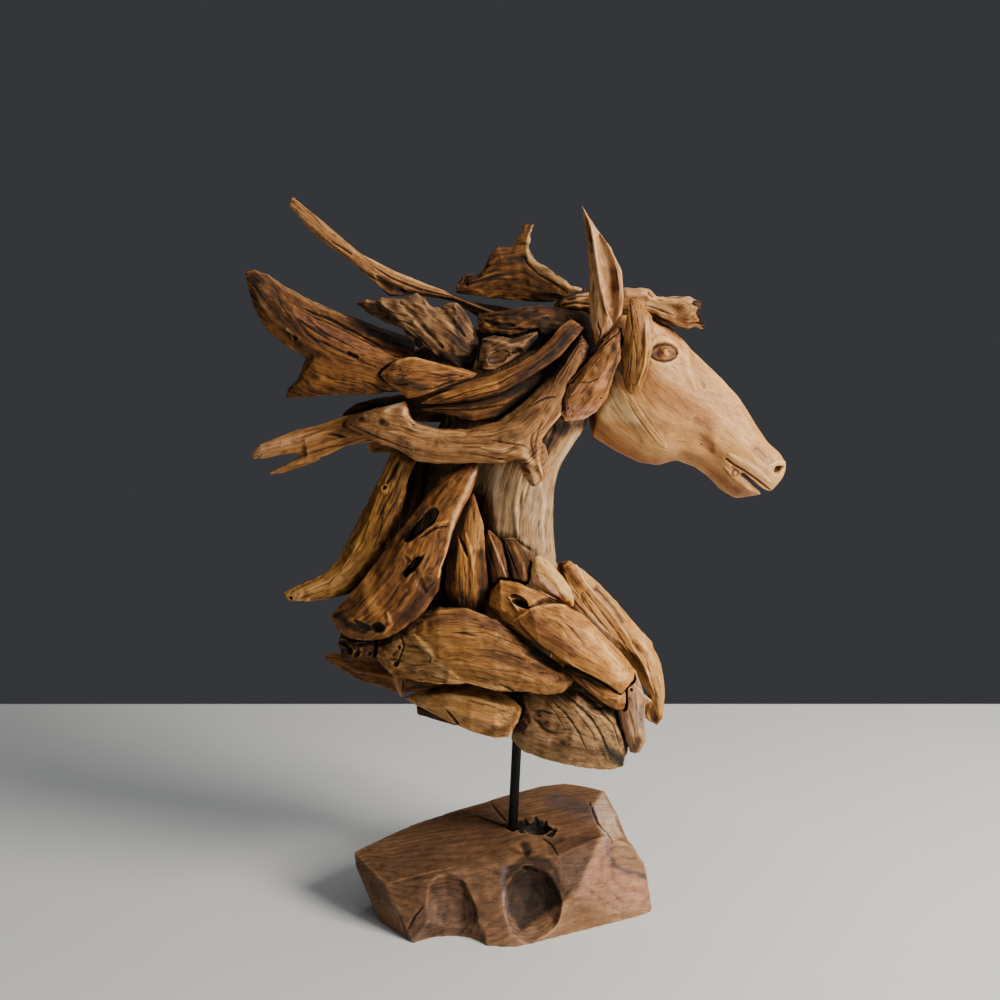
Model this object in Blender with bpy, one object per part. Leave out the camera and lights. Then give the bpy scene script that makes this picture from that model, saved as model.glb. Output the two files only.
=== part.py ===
"""A horse's head built of driftwood pieces, on a steel rod that stands in a hewn teak foot.

Every piece of wood is its own solid. Most are limbs: a loft through a few stations along the
grain. Where two pieces meet, the one behind is notched round the one in front, as a maker
fits them, and a hairline gap is left between them.

The model is drawn in millimetres and written in metres, +Z up, the horse looking along +X.
"""

import math

import bmesh
import bpy
from mathutils import Matrix, Vector, noise

MM = 0.001

# Driving dimensions, in millimetres.
VIEW_DISTANCE = 1250.0   # the elevation is drawn for a viewer this far in front of the middle plane
VIEW_SIDE = -18.0        # the viewer stands this far to the side of the rod
VIEW_HEIGHT = 710.0      # the viewer's eye is level with the horse's
JOINT_GAP = 0.45          # how far a notch stands off the piece that it is cut for
ROD_RADIUS = 6.0
ROD_LOW = 30.0           # the rod's lower end, inside the foot
ROD_HIGH = 330.0         # the rod's upper end, inside the neck trunk
ROD_LEAN = 2.5           # degrees, towards the head
ROD_FOOT_X = -2.0        # where the rod leaves the foot
FOOT_HEIGHT = 92.0       # the foot's top where the rod enters it
RING_SPACING = 22.0      # of a limb's sections along its grain
LEAST_RINGS = 4
SLIM = 30.0              # a slab narrower than this has six sides instead of eight
FAR_SIDES = 6            # the far side is hewn more plainly
FAR_SPACING = 42.0
FAR_SEED = 68
FULLNESS = 1.06          # lifts the corners of a section so that its flats keep the width asked for
HEWN = 0.09              # how unevenly a limb is hewn, as a share of its radius
HEWN_GRAIN = 0.021       # the unevenness changes slowly along a limb: waves per millimetre
FLATNESS = math.radians(1.6)  # faces that meet flatter than this are one face
ROD_GLOSS = 0.35         # roughness of the black paint
WOOD_GLOSS = 0.75        # and of the bare wood
CHECK_COLOUR = {
    "pale": (0.58, 0.40, 0.24),
    "orange": (0.47, 0.25, 0.11),
    "brown": (0.30, 0.18, 0.09),
    "grey": (0.34, 0.24, 0.16),
    "carved": (0.62, 0.42, 0.25),
    "foot": (0.27, 0.15, 0.08),
    "steel": (0.02, 0.02, 0.022),
}


def seen(x, z, depth):
    """The point at a depth behind the middle plane that the viewer sees at (x, z) of the elevation."""
    scale = (depth + VIEW_DISTANCE) / VIEW_DISTANCE
    return Vector((VIEW_SIDE + (x - VIEW_SIDE) * scale, depth, VIEW_HEIGHT + (z - VIEW_HEIGHT) * scale))


def catmull(values, t):
    """The Catmull-Rom curve through values at t, where whole numbers are the values themselves."""
    last = len(values) - 1
    i = min(int(t), last - 1)
    u = t - i
    p = [values[min(max(i + k, 0), last)] for k in (-1, 0, 1, 2)]
    return [
        0.5 * (2 * b + (c - a) * u + (2 * a - 5 * b + 4 * c - d) * u * u + (3 * b - a - 3 * c + d) * u ** 3)
        for a, b, c, d in zip(*p)
    ]


def resampled(stations, rings):
    """Stations at even steps along the smooth limb that runs through the given ones."""
    steps = 12 * (len(stations) - 1)
    fine = [catmull(stations, i * (len(stations) - 1) / steps) for i in range(steps + 1)]
    run = [0.0]
    for a, b in zip(fine, fine[1:]):
        run.append(run[-1] + (seen(*b[:3]) - seen(*a[:3])).length)
    made = []
    k = 0
    for i in range(rings):
        want = run[-1] * i / (rings - 1)
        while k < steps - 1 and run[k + 1] < want:
            k += 1
        share = (want - run[k]) / max(run[k + 1] - run[k], 1e-9)
        made.append([a + (b - a) * share for a, b in zip(fine[k], fine[k + 1])])
    return made


def limb(stations, sides=8, seed=0, hewn=HEWN, spacing=RING_SPACING, turn=0.0):
    """A closed loft through stations of (x, z, depth, half width, half thickness), as a bmesh.

    The width lies across the limb as the viewer sees it, and the thickness towards the viewer.
    """
    length = sum((seen(*b[:3]) - seen(*a[:3])).length for a, b in zip(stations, stations[1:]))
    rings = max(LEAST_RINGS, round(length / spacing) + 1)
    rows = resampled(stations, rings)
    centres = [seen(*row[:3]) for row in rows]
    shape = bmesh.new()
    loops = []
    for i, row in enumerate(rows):
        along = (centres[min(i + 1, rings - 1)] - centres[max(i - 1, 0)]).normalized()
        across = along.cross(Vector((0, 1, 0))).normalized()
        out = across.cross(along).normalized()
        wide = max(row[3], 1.0) * (row[2] + VIEW_DISTANCE) / VIEW_DISTANCE
        thick = max(row[4], 1.0)
        loop = []
        for k in range(sides):
            angle = 2 * math.pi * (k + 0.5) / sides + turn
            spot = Vector((math.cos(angle) * 1.3, math.sin(angle) * 1.3, i * spacing * HEWN_GRAIN * 3))
            uneven = 1 + hewn * noise.noise(spot + Vector((seed * 7.3, seed * 3.1, seed * 1.7)))
            corner = across * math.cos(angle) * wide + out * math.sin(angle) * thick
            loop.append(shape.verts.new(centres[i] + corner * uneven * FULLNESS))
        loops.append(loop)
    skin_over(shape, loops)
    return shape


def slab(ribs, seed=0, hewn=HEWN):
    """A closed loft through ribs, for a plank or billet whose two edges are drawn, as a bmesh.

    Each rib is one edge (x, z, depth), the other edge (x, z, depth) and the half thickness between.
    """
    widest = max(math.hypot(rib[3] - rib[0], rib[4] - rib[1]) for rib in ribs)
    sides = 8 if widest > SLIM else 6
    shape = bmesh.new()
    loops = []
    for i, (x1, z1, depth1, x2, z2, depth2, thick) in enumerate(ribs):
        one, other = seen(x1, z1, depth1), seen(x2, z2, depth2)
        across = (other - one) / 2
        out = Vector((0, 1, 0)) - across * across.y / across.length_squared
        loop = []
        for k in range(sides):
            angle = 2 * math.pi * (k + 0.5) / sides
            spot = Vector((math.cos(angle) * 1.3, math.sin(angle) * 1.3, i * 1.1))
            uneven = 1 + hewn * noise.noise(spot + Vector((seed * 7.3, seed * 3.1, seed * 1.7)))
            wide = across * math.cos(angle) * FULLNESS
            deep = out.normalized() * math.sin(angle) * thick * uneven
            loop.append(shape.verts.new((one + other) / 2 + wide + deep))
        loops.append(loop)
    skin_over(shape, loops)
    return shape


def far_limbs(table):
    """Plain limbs for the far side, from a table of name: (wood, stations)."""
    made = []
    for seed, (name, (wood, stations)) in enumerate(table.items(), start=FAR_SEED):
        made.append(Piece(name, [limb(stations, sides=FAR_SIDES, seed=seed, spacing=FAR_SPACING)], wood))
    return made


def skin_over(shape, loops):
    """Closes the skin over a row of section loops, caps and all."""
    count = len(loops[0])
    for low, high in zip(loops, loops[1:]):
        for k in range(count):
            n = (k + 1) % count
            shape.faces.new((low[k], low[n], high[n], high[k]))
    shape.faces.new(reversed(loops[0]))
    shape.faces.new(loops[-1])
    bmesh.ops.recalc_face_normals(shape, faces=shape.faces)
    # A twisted quad is folded here, once, so that a piece and the notch cut for it fold the same way.
    bmesh.ops.triangulate(shape, faces=shape.faces)


def ball(x, z, depth, radii, tilt=0.0):
    """An ellipsoid for hollows and knots: radii along the elevation, up it and towards the viewer."""
    shape = bmesh.new()
    bmesh.ops.create_icosphere(shape, subdivisions=2, radius=1.0)
    stretch = Matrix.Diagonal((radii[0], radii[2], radii[1], 1.0))
    place = Matrix.Translation(seen(x, z, depth)) @ Matrix.Rotation(math.radians(tilt), 4, "Y")
    bmesh.ops.transform(shape, matrix=place @ stretch, verts=shape.verts)
    return shape


def to_object(name, shape):
    """Makes an object of a bmesh in millimetres, and frees the bmesh."""
    mesh = bpy.data.meshes.new(name)
    shape.to_mesh(mesh)
    shape.free()
    made = bpy.data.objects.new(name, mesh)
    bpy.context.scene.collection.objects.link(made)
    return made


def grown(shape):
    """A copy of a solid that stands off it all round by the joint gap: the tool that cuts its notch."""
    tool = shape.copy()
    tool.normal_update()
    moves = [v.normal * JOINT_GAP * min(v.calc_shell_factor(), 3.0) for v in tool.verts]
    for vertex, move in zip(tool.verts, moves):
        vertex.co += move
    return to_object("notch", tool)


def box_of(made):
    """Lowest and highest corner of an object's mesh, in millimetres."""
    points = [v.co for v in made.data.vertices]
    return [min(p[i] for p in points) for i in range(3)], [max(p[i] for p in points) for i in range(3)]


def boxes_meet(a, b):
    """Whether two boxes, each a lowest and a highest corner, overlap."""
    return all(a[0][i] < b[1][i] and b[0][i] < a[1][i] for i in range(3))


def islands_of(shape):
    """The faces of a bmesh, parted into its connected shells."""
    todo = set(shape.faces)
    islands = []
    while todo:
        island = [todo.pop()]
        for face in island:
            for edge in face.edges:
                for other in edge.link_faces:
                    if other in todo:
                        todo.remove(other)
                        island.append(other)
        islands.append(island)
    return islands


class Piece:
    """One piece of wood or steel, with the tools that notch its neighbours for it."""

    def __init__(self, name, shapes, wood, hollows=()):
        self.tools = [grown(shape) for shape in shapes]
        self.boxes = [box_of(tool) for tool in self.tools]
        self.body = to_object(name, shapes[0])
        self.body["wood"] = wood
        self.extras = [to_object("extra", shape) for shape in shapes[1:]]
        self.hollows = [to_object("hollow", shape) for shape in hollows]
        self.box = self.whole_box()

    def whole_box(self):
        """The box round all the piece's shapes."""
        low = [min(box[0][i] for box in self.boxes) for i in range(3)]
        high = [max(box[1][i] for box in self.boxes) for i in range(3)]
        return low, high

    def add_boolean(self, tool, operation):
        """Puts one exact Boolean on the piece."""
        cut = self.body.modifiers.new("fit", "BOOLEAN")
        cut.operation = operation
        cut.solver = "EXACT"
        cut.object = tool

    def fit(self, earlier):
        """Joins the piece's shapes, hollows it, and notches it round the pieces before it."""
        for extra in self.extras:
            self.add_boolean(extra, "UNION")
        for hollow in self.hollows:
            self.add_boolean(hollow, "DIFFERENCE")
        for other in earlier:
            for tool, box in zip(other.tools, other.boxes):
                if boxes_meet(box, self.box):
                    self.add_boolean(tool, "DIFFERENCE")
        bpy.context.view_layer.update()
        graph = bpy.context.evaluated_depsgraph_get()
        mesh = bpy.data.meshes.new_from_object(self.body.evaluated_get(graph))
        self.body.modifiers.clear()
        self.body.data = mesh

    def clean(self):
        """Drops the offcuts that a notch has parted from the piece, and its slivers."""
        shape = bmesh.new()
        shape.from_mesh(self.body.data)
        bmesh.ops.remove_doubles(shape, verts=shape.verts, dist=0.02)
        bmesh.ops.dissolve_degenerate(shape, edges=shape.edges, dist=0.02)
        islands = islands_of(shape)
        sizes = [sum(face.calc_area() for face in island) for island in islands]
        best = sizes.index(max(sizes))
        lost = [face for k, island in enumerate(islands) if k != best for face in island]
        bmesh.ops.delete(shape, geom=lost, context="FACES")
        bmesh.ops.dissolve_limit(shape, angle_limit=FLATNESS, verts=shape.verts, edges=shape.edges)
        bmesh.ops.triangulate(shape, faces=shape.faces)
        bmesh.ops.scale(shape, vec=(MM, MM, MM), verts=shape.verts)
        shape.to_mesh(self.body.data)
        shape.free()

    def drop_helpers(self):
        """Removes the piece's tools once every neighbour has been notched."""
        for helper in (*self.tools, *self.extras, *self.hollows):
            bpy.data.objects.remove(helper)


# The head, its ears and what is fixed to it -------------------------------------------------


def head():
    """The carved head: sections from the poll to the lips, each from the brow line to the jaw line.

    Each row is the brow point (x, z), the jaw point (x, z) and the half width between them.
    """
    rows = (
        (100, 728, 84, 614, 26),
        (124, 741, 91, 586, 38),
        (152, 737, 118, 569, 45),
        (177, 719, 145, 556, 48),
        (197, 696, 168, 552, 46),
        (217, 677, 190, 558, 41),
        (241, 655, 212, 550, 35),
        (262, 633, 229, 538, 31),
        (282, 604, 245, 522, 29),
        (299, 580, 262, 512, 28),
        (313, 568, 284, 515, 25),
        (322, 555, 303, 519, 18),
        (322, 545, 314, 531, 8),
    )
    # Half width at points down the side of a section: the flat brow, the cheek, the narrow jaw.
    side = ((0.0, 0.30), (0.12, 0.66), (0.36, 0.98), (0.62, 1.0), (0.86, 0.72), (1.0, 0.26))
    shape = bmesh.new()
    loops = []
    for brow_x, brow_z, jaw_x, jaw_z, half in rows:
        loop = []
        for sign, order in ((-1, side), (1, tuple(reversed(side)))):
            for down, share in order:
                at = seen(brow_x + (jaw_x - brow_x) * down, brow_z + (jaw_z - brow_z) * down, 0)
                loop.append(shape.verts.new(at + Vector((0, sign * half * share, 0))))
        loops.append(loop)
    skin_over(shape, loops)
    mouth = limb([(246, 561, 0, 1, 60), (264, 545, 0, 2, 60), (284, 529, 0, 2, 60),
                  (305, 514, 0, 4, 60)], sides=4,
                 hewn=0, turn=math.pi / 4)
    hollows = [mouth]
    for sign in (-1, 1):
        hollows.append(ball(173, 684, sign * 52, (15, 9, 12)))
        hollows.append(ball(313, 546, sign * 19, (7, 4, 6), tilt=-15))
    return Piece("head", [shape], "carved", hollows)


def crown():
    """The ears, the locks beside the eye and over the cheeks, and the log across the brow."""
    lock = slab([(132, 748, -54, 144, 747, -54, 5), (128, 728, -58, 160, 727, -60, 8),
                 (125, 702, -60, 165, 704, -63, 10), (123, 678, -60, 160, 682, -63, 9),
                 (124, 656, -60, 156, 660, -62, 8), (127, 641, -58, 151, 644, -58, 6),
                 (134, 633, -57, 146, 634, -57, 4)], seed=4)
    leaf = slab([(74, 853, -46, 77, 853, -46, 1.5), (77, 832, -47, 92, 830, -50, 5),
                 (81, 806, -47, 111, 806, -54, 9), (83, 780, -47, 124, 779, -56, 11),
                 (84, 754, -46, 127, 754, -57, 12), (85, 728, -44, 127, 728, -56, 12),
                 (88, 706, -44, 109, 706, -52, 9), (92, 689, -44, 97, 689, -46, 4)], seed=3, hewn=0.04)
    scoop = [(113, 716, -64, 5, 8), (114, 742, -68, 9, 11), (110, 776, -68, 10, 11),
             (100, 810, -62, 6, 8), (90, 836, -56, 1, 3)]
    cheek = slab([(113, 718, -52, 127, 715, -52, 5), (100, 699, -54, 130, 696, -58, 10),
                  (88, 681, -54, 127, 680, -62, 13), (74, 664, -54, 119, 664, -66, 15),
                  (58, 648, -54, 114, 646, -68, 16), (46, 631, -54, 110, 630, -66, 15),
                  (45, 616, -54, 99, 616, -62, 11), (54, 603, -54, 82, 606, -56, 6)], seed=5)
    log = slab([(42, 741, 0, 46, 730, 0, 8), (52, 749, -1, 54, 727, -1, 13),
                (70, 754, -2, 70, 727, -3, 16), (95, 758, -4, 95, 727, -6, 17),
                (126, 761, -6, 126, 726, -9, 18), (154, 760, -9, 156, 724, -12, 18),
                (164, 750, -11, 170, 716, -14, 18), (203, 751, -16, 200, 709, -20, 18),
                (215, 744, -18, 209, 712, -20, 16),
                (227, 734, -19, 220, 708, -20, 9)], seed=6)
    core = limb([(192, 733, -16, 8, 9), (206, 731, -18, 11, 12),
                 (235, 728, -20, 13, 14)], hewn=0.1, seed=2)
    return [
        Piece("brow_lock", [lock], "brown"),
        Piece("near_ear", [leaf], "pale", [limb(scoop, hewn=0.0)]),
        Piece("near_cheek", [cheek], "orange"),
        Piece("forelock", [log], "pale", [core]),
    ]


def far_crown():
    """The far ear and the far cheek piece, plainer."""
    leaf = limb([(100, 690, 42, 6, 7), (104, 714, 46, 18, 12), (105, 745, 48, 18, 12),
                 (102, 775, 48, 15, 11), (95, 805, 46, 8, 8), (88, 829, 42, 1, 2)], seed=3, hewn=0.04)
    scoop = limb([(111, 718, 58, 5, 8), (112, 743, 60, 8, 10), (108, 770, 60, 8, 9),
                  (100, 800, 56, 4, 6)], hewn=0.0)
    return [Piece("far_ear", [leaf], "pale", [scoop])] + far_limbs({
        "far_cheek": ("orange", [(120, 708, 50, 7, 8), (111, 688, 56, 14, 12), (97, 662, 61, 21, 14),
                                 (82, 638, 63, 23, 14), (66, 621, 60, 15, 11)]),
    })


# The mane -----------------------------------------------------------------------------------


def branch():
    """The great forked branch that runs from behind the cheek to the back of the mane."""
    arm = slab([(-197, 612, -34, -205, 599, -34, 4), (-176, 618, -42, -190, 590, -46, 10),
                (-151, 624, -46, -162, 576, -54, 14), (-128, 630, -46, -140, 568, -57, 16),
                (-119, 607, -50, -119, 555, -61, 18), (-92, 597, -52, -92, 552, -65, 20),
                (-55, 596, -54, -58, 553, -68, 21), (-22, 605, -56, -14, 552, -69, 22),
                (4, 624, -56, 20, 561, -69, 21), (22, 641, -54, 42, 595, -65, 19),
                (40, 657, -50, 58, 614, -61, 17), (57, 682, -46, 76, 650, -57, 14),
                (77, 709, -42, 89, 692, -48, 7)],
               seed=11, hewn=0.05)
    stub = slab([(-6, 575, -60, 38, 580, -60, 15), (2, 554, -65, 42, 562, -63, 14),
                 (8, 537, -68, 43, 547, -67, 12), (20, 523, -69, 34, 529, -69, 7)], seed=12)
    knots = [ball(-184, 605, -60, (9, 6, 8), 10), ball(-159, 602, -68, (10, 6, 9), 10)]
    return [Piece("near_branch", [arm, stub], "pale", knots)]


def mane_front():
    """The pieces of the mane that lie outermost on the viewer's side."""
    wing_face = slab([(-301, 782, -26, -315, 777, -26, 3), (-285, 768, -30, -312, 757, -32, 8),
                      (-272, 753, -34, -306, 734, -37, 11), (-248, 738, -37, -293, 710, -41, 13),
                      (-218, 721, -40, -267, 688, -43, 14), (-188, 705, -42, -222, 668, -44, 14),
                      (-158, 690, -44, -180, 654, -45, 12),
                      (-128, 676, -44, -140, 646, -45, 9)], seed=21)
    spur = slab([(-268, 645, -28, -273, 630, -28, 5), (-257, 655, -32, -256, 629, -32, 9),
                 (-250, 672, -37, -241, 630, -35, 11), (-240, 698, -42, -220, 632, -38, 14),
                 (-205, 696, -44, -192, 633, -42, 15), (-168, 688, -44, -164, 634, -45, 14),
                 (-128, 672, -42, -126, 638, -44, 10)], seed=22)
    rim = slab([(-304, 782, -20, -311, 776, -24, 4), (-284, 773, -12, -293, 752, -24, 7),
                (-262, 759, -6, -270, 734, -24, 8), (-240, 747, -2, -246, 720, -24, 8),
                (-214, 736, 0, -220, 706, -24, 9), (-184, 725, 2, -190, 692, -24, 9),
                (-150, 712, 4, -154, 680, -24, 9), (-116, 702, 4, -118, 672, -24, 8)], seed=32)
    fork = slab([(-160, 623, -18, -160, 579, -22, 10), (-200, 613, -22, -198, 574, -26, 12),
                 (-227, 603, -24, -222, 562, -28, 12),
                 (-250, 597, -26, -246, 555, -30, 10)], seed=14)
    upper_prong = slab([(-236, 600, -26, -236, 572, -28, 9), (-258, 596, -26, -257, 565, -29, 9),
                        (-281, 587, -27, -276, 563, -28, 8), (-303, 578, -26, -297, 558, -27, 7),
                        (-315, 568, -25, -312, 557, -26, 3)], seed=15)
    lower_prong = slab([(-236, 582, -28, -232, 556, -29, 8), (-258, 563, -27, -254, 548, -28, 7),
                        (-279, 552, -26, -277, 540, -27, 5),
                        (-295, 544, -25, -293, 538, -25, 3)], seed=16)
    return [
        Piece("leaf_slat", [slab([(-157, 664, -56, -160, 657, -58, 4),
                                  (-137, 679, -54, -149, 646, -62, 10),
                                  (-118, 681, -54, -127, 629, -66, 13),
                                  (-90, 672, -54, -104, 634, -66, 13), (-62, 667, -54, -74, 644, -64, 11),
                                  (-42, 661, -54, -49, 652, -60, 5)], seed=17)], "orange"),
        Piece("swoop", [slab([(-115, 627, -60, -113, 622, -60, 3), (-90, 642, -60, -84, 623, -66, 9),
                              (-60, 651, -62, -54, 626, -69, 12), (-28, 660, -62, -18, 634, -70, 13),
                              (0, 670, -60, 12, 650, -68, 12), (22, 685, -57, 36, 665, -63, 11),
                              (39, 701, -54, 55, 679, -59, 10), (50, 717, -50, 71, 698, -53, 8),
                              (63, 726, -44, 84, 713, -45, 5)], seed=18)], "orange"),
        Piece("lower_slat", [slab([(-114, 621, -50, -112, 615, -50, 3), (-86, 630, -48, -84, 610, -52, 9),
                                   (-50, 636, -46, -50, 601, -54, 12), (-20, 642, -44, -22, 607, -52, 12),
                                   (6, 652, -40, 4, 625, -47, 10),
                                   (28, 660, -36, 30, 644, -40, 6)], seed=19)], "brown"),
        Piece("cup_knot", [slab([(-40, 702, -44, -47, 665, -49, 10), (-24, 706, -46, -34, 659, -54, 13),
                                 (-4, 702, -46, -13, 668, -54, 14), (12, 707, -44, 9, 680, -50, 11),
                                 (27, 711, -40, 29, 702, -42, 5)], seed=20)], "grey",
              [ball(-19, 678, -68, (17, 9, 9), -20)]),
        Piece("wing", [wing_face, spur, rim], "orange"),
        Piece("fork_stick", [fork, upper_prong, lower_prong], "orange"),
    ]


def mane_middle():
    """The pieces of the mane that lie deeper, up to the middle plane."""
    ragged = slab([(-158, 750, -26, -161, 738, -28, 8), (-134, 748, -28, -140, 715, -34, 11),
                   (-114, 755, -28, -122, 704, -38, 13), (-103, 749, -29, -106, 689, -40, 14),
                   (-97, 738, -30, -94, 680, -40, 14), (-84, 741, -30, -82, 672, -40, 14),
                   (-69, 746, -30, -70, 664, -40, 14), (-60, 736, -30, -60, 662, -38, 13),
                   (-49, 722, -30, -48, 662, -36, 10),
                   (-40, 698, -30, -43, 676, -34, 6)], seed=24, hewn=0.16)
    tongue = slab([(-187, 743, -10, -187, 739, -12, 3), (-172, 748, -12, -170, 727, -18, 8),
                   (-152, 746, -16, -148, 716, -24, 11),
                   (-128, 738, -20, -122, 706, -28, 11)], seed=25)
    antler = slab([(-16, 800, -8, 28, 788, -8, 8), (-4, 810, -8, 18, 804, -8, 7),
                   (3, 821, -8, 19, 818, -8, 6), (8, 833, -8, 24, 832, -8, 4)], seed=29)
    return [
        Piece("ragged_slab", [ragged, tongue], "grey"),
        Piece("ridge_strip", [slab([(-47, 732, -28, -45, 706, -34, 7), (-27, 733, -32, -28, 703, -39, 10),
                                    (-8, 735, -34, -6, 699, -41, 10), (9, 739, -34, 12, 701, -41, 10),
                                    (28, 740, -32, 31, 704, -39, 10), (48, 739, -28, 54, 694, -35, 11),
                                    (78, 734, -24, 88, 680, -30, 10),
                                    (92, 728, -22, 102, 690, -26, 6)], seed=27)], "brown"),
        Piece("crown_antler", [slab([(-71, 763, -6, -71, 751, -6, 6), (-61, 776, -7, -60, 749, -7, 9),
                                     (-43, 777, -8, -43, 747, -8, 10), (-30, 799, -8, -28, 744, -8, 10),
                                     (-20, 809, -8, -16, 743, -8, 11), (6, 803, -8, 6, 742, -8, 12),
                                     (22, 793, -8, 20, 740, -8, 12), (45, 779, -8, 42, 740, -8, 11),
                                     (66, 763, -7, 64, 743, -7, 9),
                                     (88, 757, -6, 88, 748, -6, 5)], seed=28, hewn=0.16), antler],
              "brown"),
        Piece("long_quill", [slab([(-255, 863, -8, -263, 853, -8, 4), (-226, 839, -8, -240, 825, -8, 6),
                                   (-200, 818, -8, -214, 803, -8, 7), (-178, 799, -8, -191, 787, -8, 7),
                                   (-152, 785, -6, -167, 766, -10, 8), (-128, 774, -4, -147, 748, -10, 8),
                                   (-104, 764, -3, -120, 750, -6, 7), (-68, 751, -1, -74, 743, -3, 6),
                                   (-12, 729, 2, -14, 721, 2, 6)], seed=31)], "pale"),
        Piece("dark_leaf", [slab([(-207, 614, -8, -205, 600, -10, 5), (-190, 627, -8, -184, 590, -12, 9),
                                  (-160, 635, -8, -156, 596, -14, 11),
                                  (-120, 638, -8, -118, 604, -14, 11),
                                  (-86, 640, -8, -86, 612, -12, 8)], seed=33)], "brown"),
    ]


def mane_far():
    """The far side of the mane, plainer, kept within the outline of the near side."""
    return far_limbs({
        "far_branch": ("pale", [(-176, 570, 28, 8, 7), (-150, 583, 34, 16, 12), (-110, 578, 44, 18, 16),
                                (-60, 576, 52, 17, 17), (-14, 584, 56, 21, 18), (22, 611, 55, 22, 17),
                                (50, 645, 50, 17, 13), (80, 690, 44, 10, 10)]),
        "far_swoop": ("orange", [(-118, 630, 44, 4, 5), (-70, 637, 50, 11, 10), (-15, 650, 52, 14, 12),
                                 (25, 674, 50, 15, 12), (58, 710, 44, 8, 9)]),
        "far_slat": ("brown", [(-215, 648, 22, 8, 7), (-165, 650, 30, 15, 11), (-115, 656, 38, 18, 13),
                               (-60, 664, 42, 15, 12), (-20, 674, 42, 8, 8)]),
        "far_wing": ("orange", [(-290, 758, 18, 4, 5), (-258, 727, 24, 15, 10), (-212, 700, 30, 20, 12),
                                (-165, 684, 34, 18, 12), (-115, 676, 38, 10, 10)]),
        "far_slab": ("grey", [(-140, 738, 20, 9, 8), (-112, 716, 26, 24, 13), (-82, 696, 30, 28, 14),
                              (-44, 686, 34, 14, 10)]),
        "far_ridge": ("brown", [(-66, 742, 16, 6, 6), (-36, 732, 20, 13, 9), (10, 722, 24, 15, 10),
                                (52, 722, 24, 13, 9), (84, 722, 22, 7, 7)]),
        "far_leaf": ("brown", [(-192, 604, 24, 6, 6), (-150, 616, 30, 14, 9), (-96, 616, 36, 17, 11),
                               (-40, 616, 40, 15, 11)]),
    })


# The neck and the nape ----------------------------------------------------------------------


def nape():
    """The planks and blades that hang down behind the neck on the viewer's side."""
    plank = slab([(-62, 557, -48, -42, 557, -48, 6), (-88, 541, -50, -42, 538, -55, 10),
                  (-107, 516, -54, -50, 518, -60, 12), (-125, 492, -58, -63, 494, -66, 14),
                  (-143, 472, -60, -73, 470, -70, 16), (-158, 450, -62, -79, 448, -75, 18),
                  (-174, 430, -64, -87, 424, -79, 19), (-188, 411, -66, -90, 398, -82, 20),
                  (-206, 392, -66, -106, 372, -84, 20), (-226, 369, -64, -132, 350, -82, 19),
                  (-218, 350, -60, -148, 340, -76, 15),
                  (-206, 337, -56, -164, 334, -64, 7)],
                 seed=43, hewn=0.12)
    long_hole = limb([(-132, 462, -68, 2.5, 60), (-119, 473, -68, 5, 60), (-103, 488, -68, 6.5, 60),
                      (-94, 498, -68, 3, 60)],
                     sides=6, hewn=0, spacing=14)
    short_hole = limb([(-134, 419, -72, 1.4, 60), (-123, 432, -72, 2.4, 60),
                       (-112, 444, -72, 1.4, 60)], sides=6, hewn=0, spacing=16)
    blade = slab([(-56, 517, -36, -48, 520, -37, 4), (-72, 480, -40, -36, 480, -43, 9),
                  (-84, 440, -42, -33, 440, -50, 12), (-86, 404, -46, -31, 400, -54, 13),
                  (-76, 367, -47, -34, 366, -53, 10)], seed=47)
    groove = limb([(-53, 512, -62, 1, 12), (-54, 470, -68, 4, 16), (-57, 430, -74, 5, 18),
                   (-56, 398, -76, 4, 16), (-54, 362, -76, 3, 14)], sides=6, hewn=0.0, seed=48, spacing=30)
    return [
        Piece("holed_plank", [plank], "orange", [long_hole, short_hole, ball(-168, 349, -96, (7, 6, 14))]),
        Piece("nape_burl", [slab([(-214, 350, -44, -148, 342, -46, 13),
                                  (-219, 332, -46, -150, 330, -50, 16),
                                  (-214, 314, -46, -158, 316, -50, 14),
                                  (-205, 309, -44, -184, 310, -46, 8)], seed=44)],
              "brown"),
        Piece("hook_stick", [slab([(-148, 573, -22, -112, 566, -26, 10),
                                   (-161, 540, -26, -124, 537, -33, 13),
                                   (-173, 518, -28, -130, 512, -36, 14),
                                   (-189, 488, -30, -139, 480, -40, 15),
                                   (-204, 460, -33, -148, 450, -44, 16),
                                   (-215, 438, -36, -170, 421, -46, 14),
                                   (-233, 421, -40, -198, 393, -47, 12),
                                   (-252, 412, -42, -230, 385, -47, 10),
                                   (-286, 396, -43, -272, 382, -45, 5)], seed=46)], "brown"),
        Piece("throat_blade", [blade], "orange", [groove]),
        Piece("back_slat", [limb([(-114, 566, 6, 20, 10), (-126, 515, 8, 34, 13), (-140, 470, 8, 36, 13),
                                  (-150, 430, 8, 36, 12), (-164, 386, 6, 26, 14)], seed=50)], "orange"),
    ]


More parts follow.
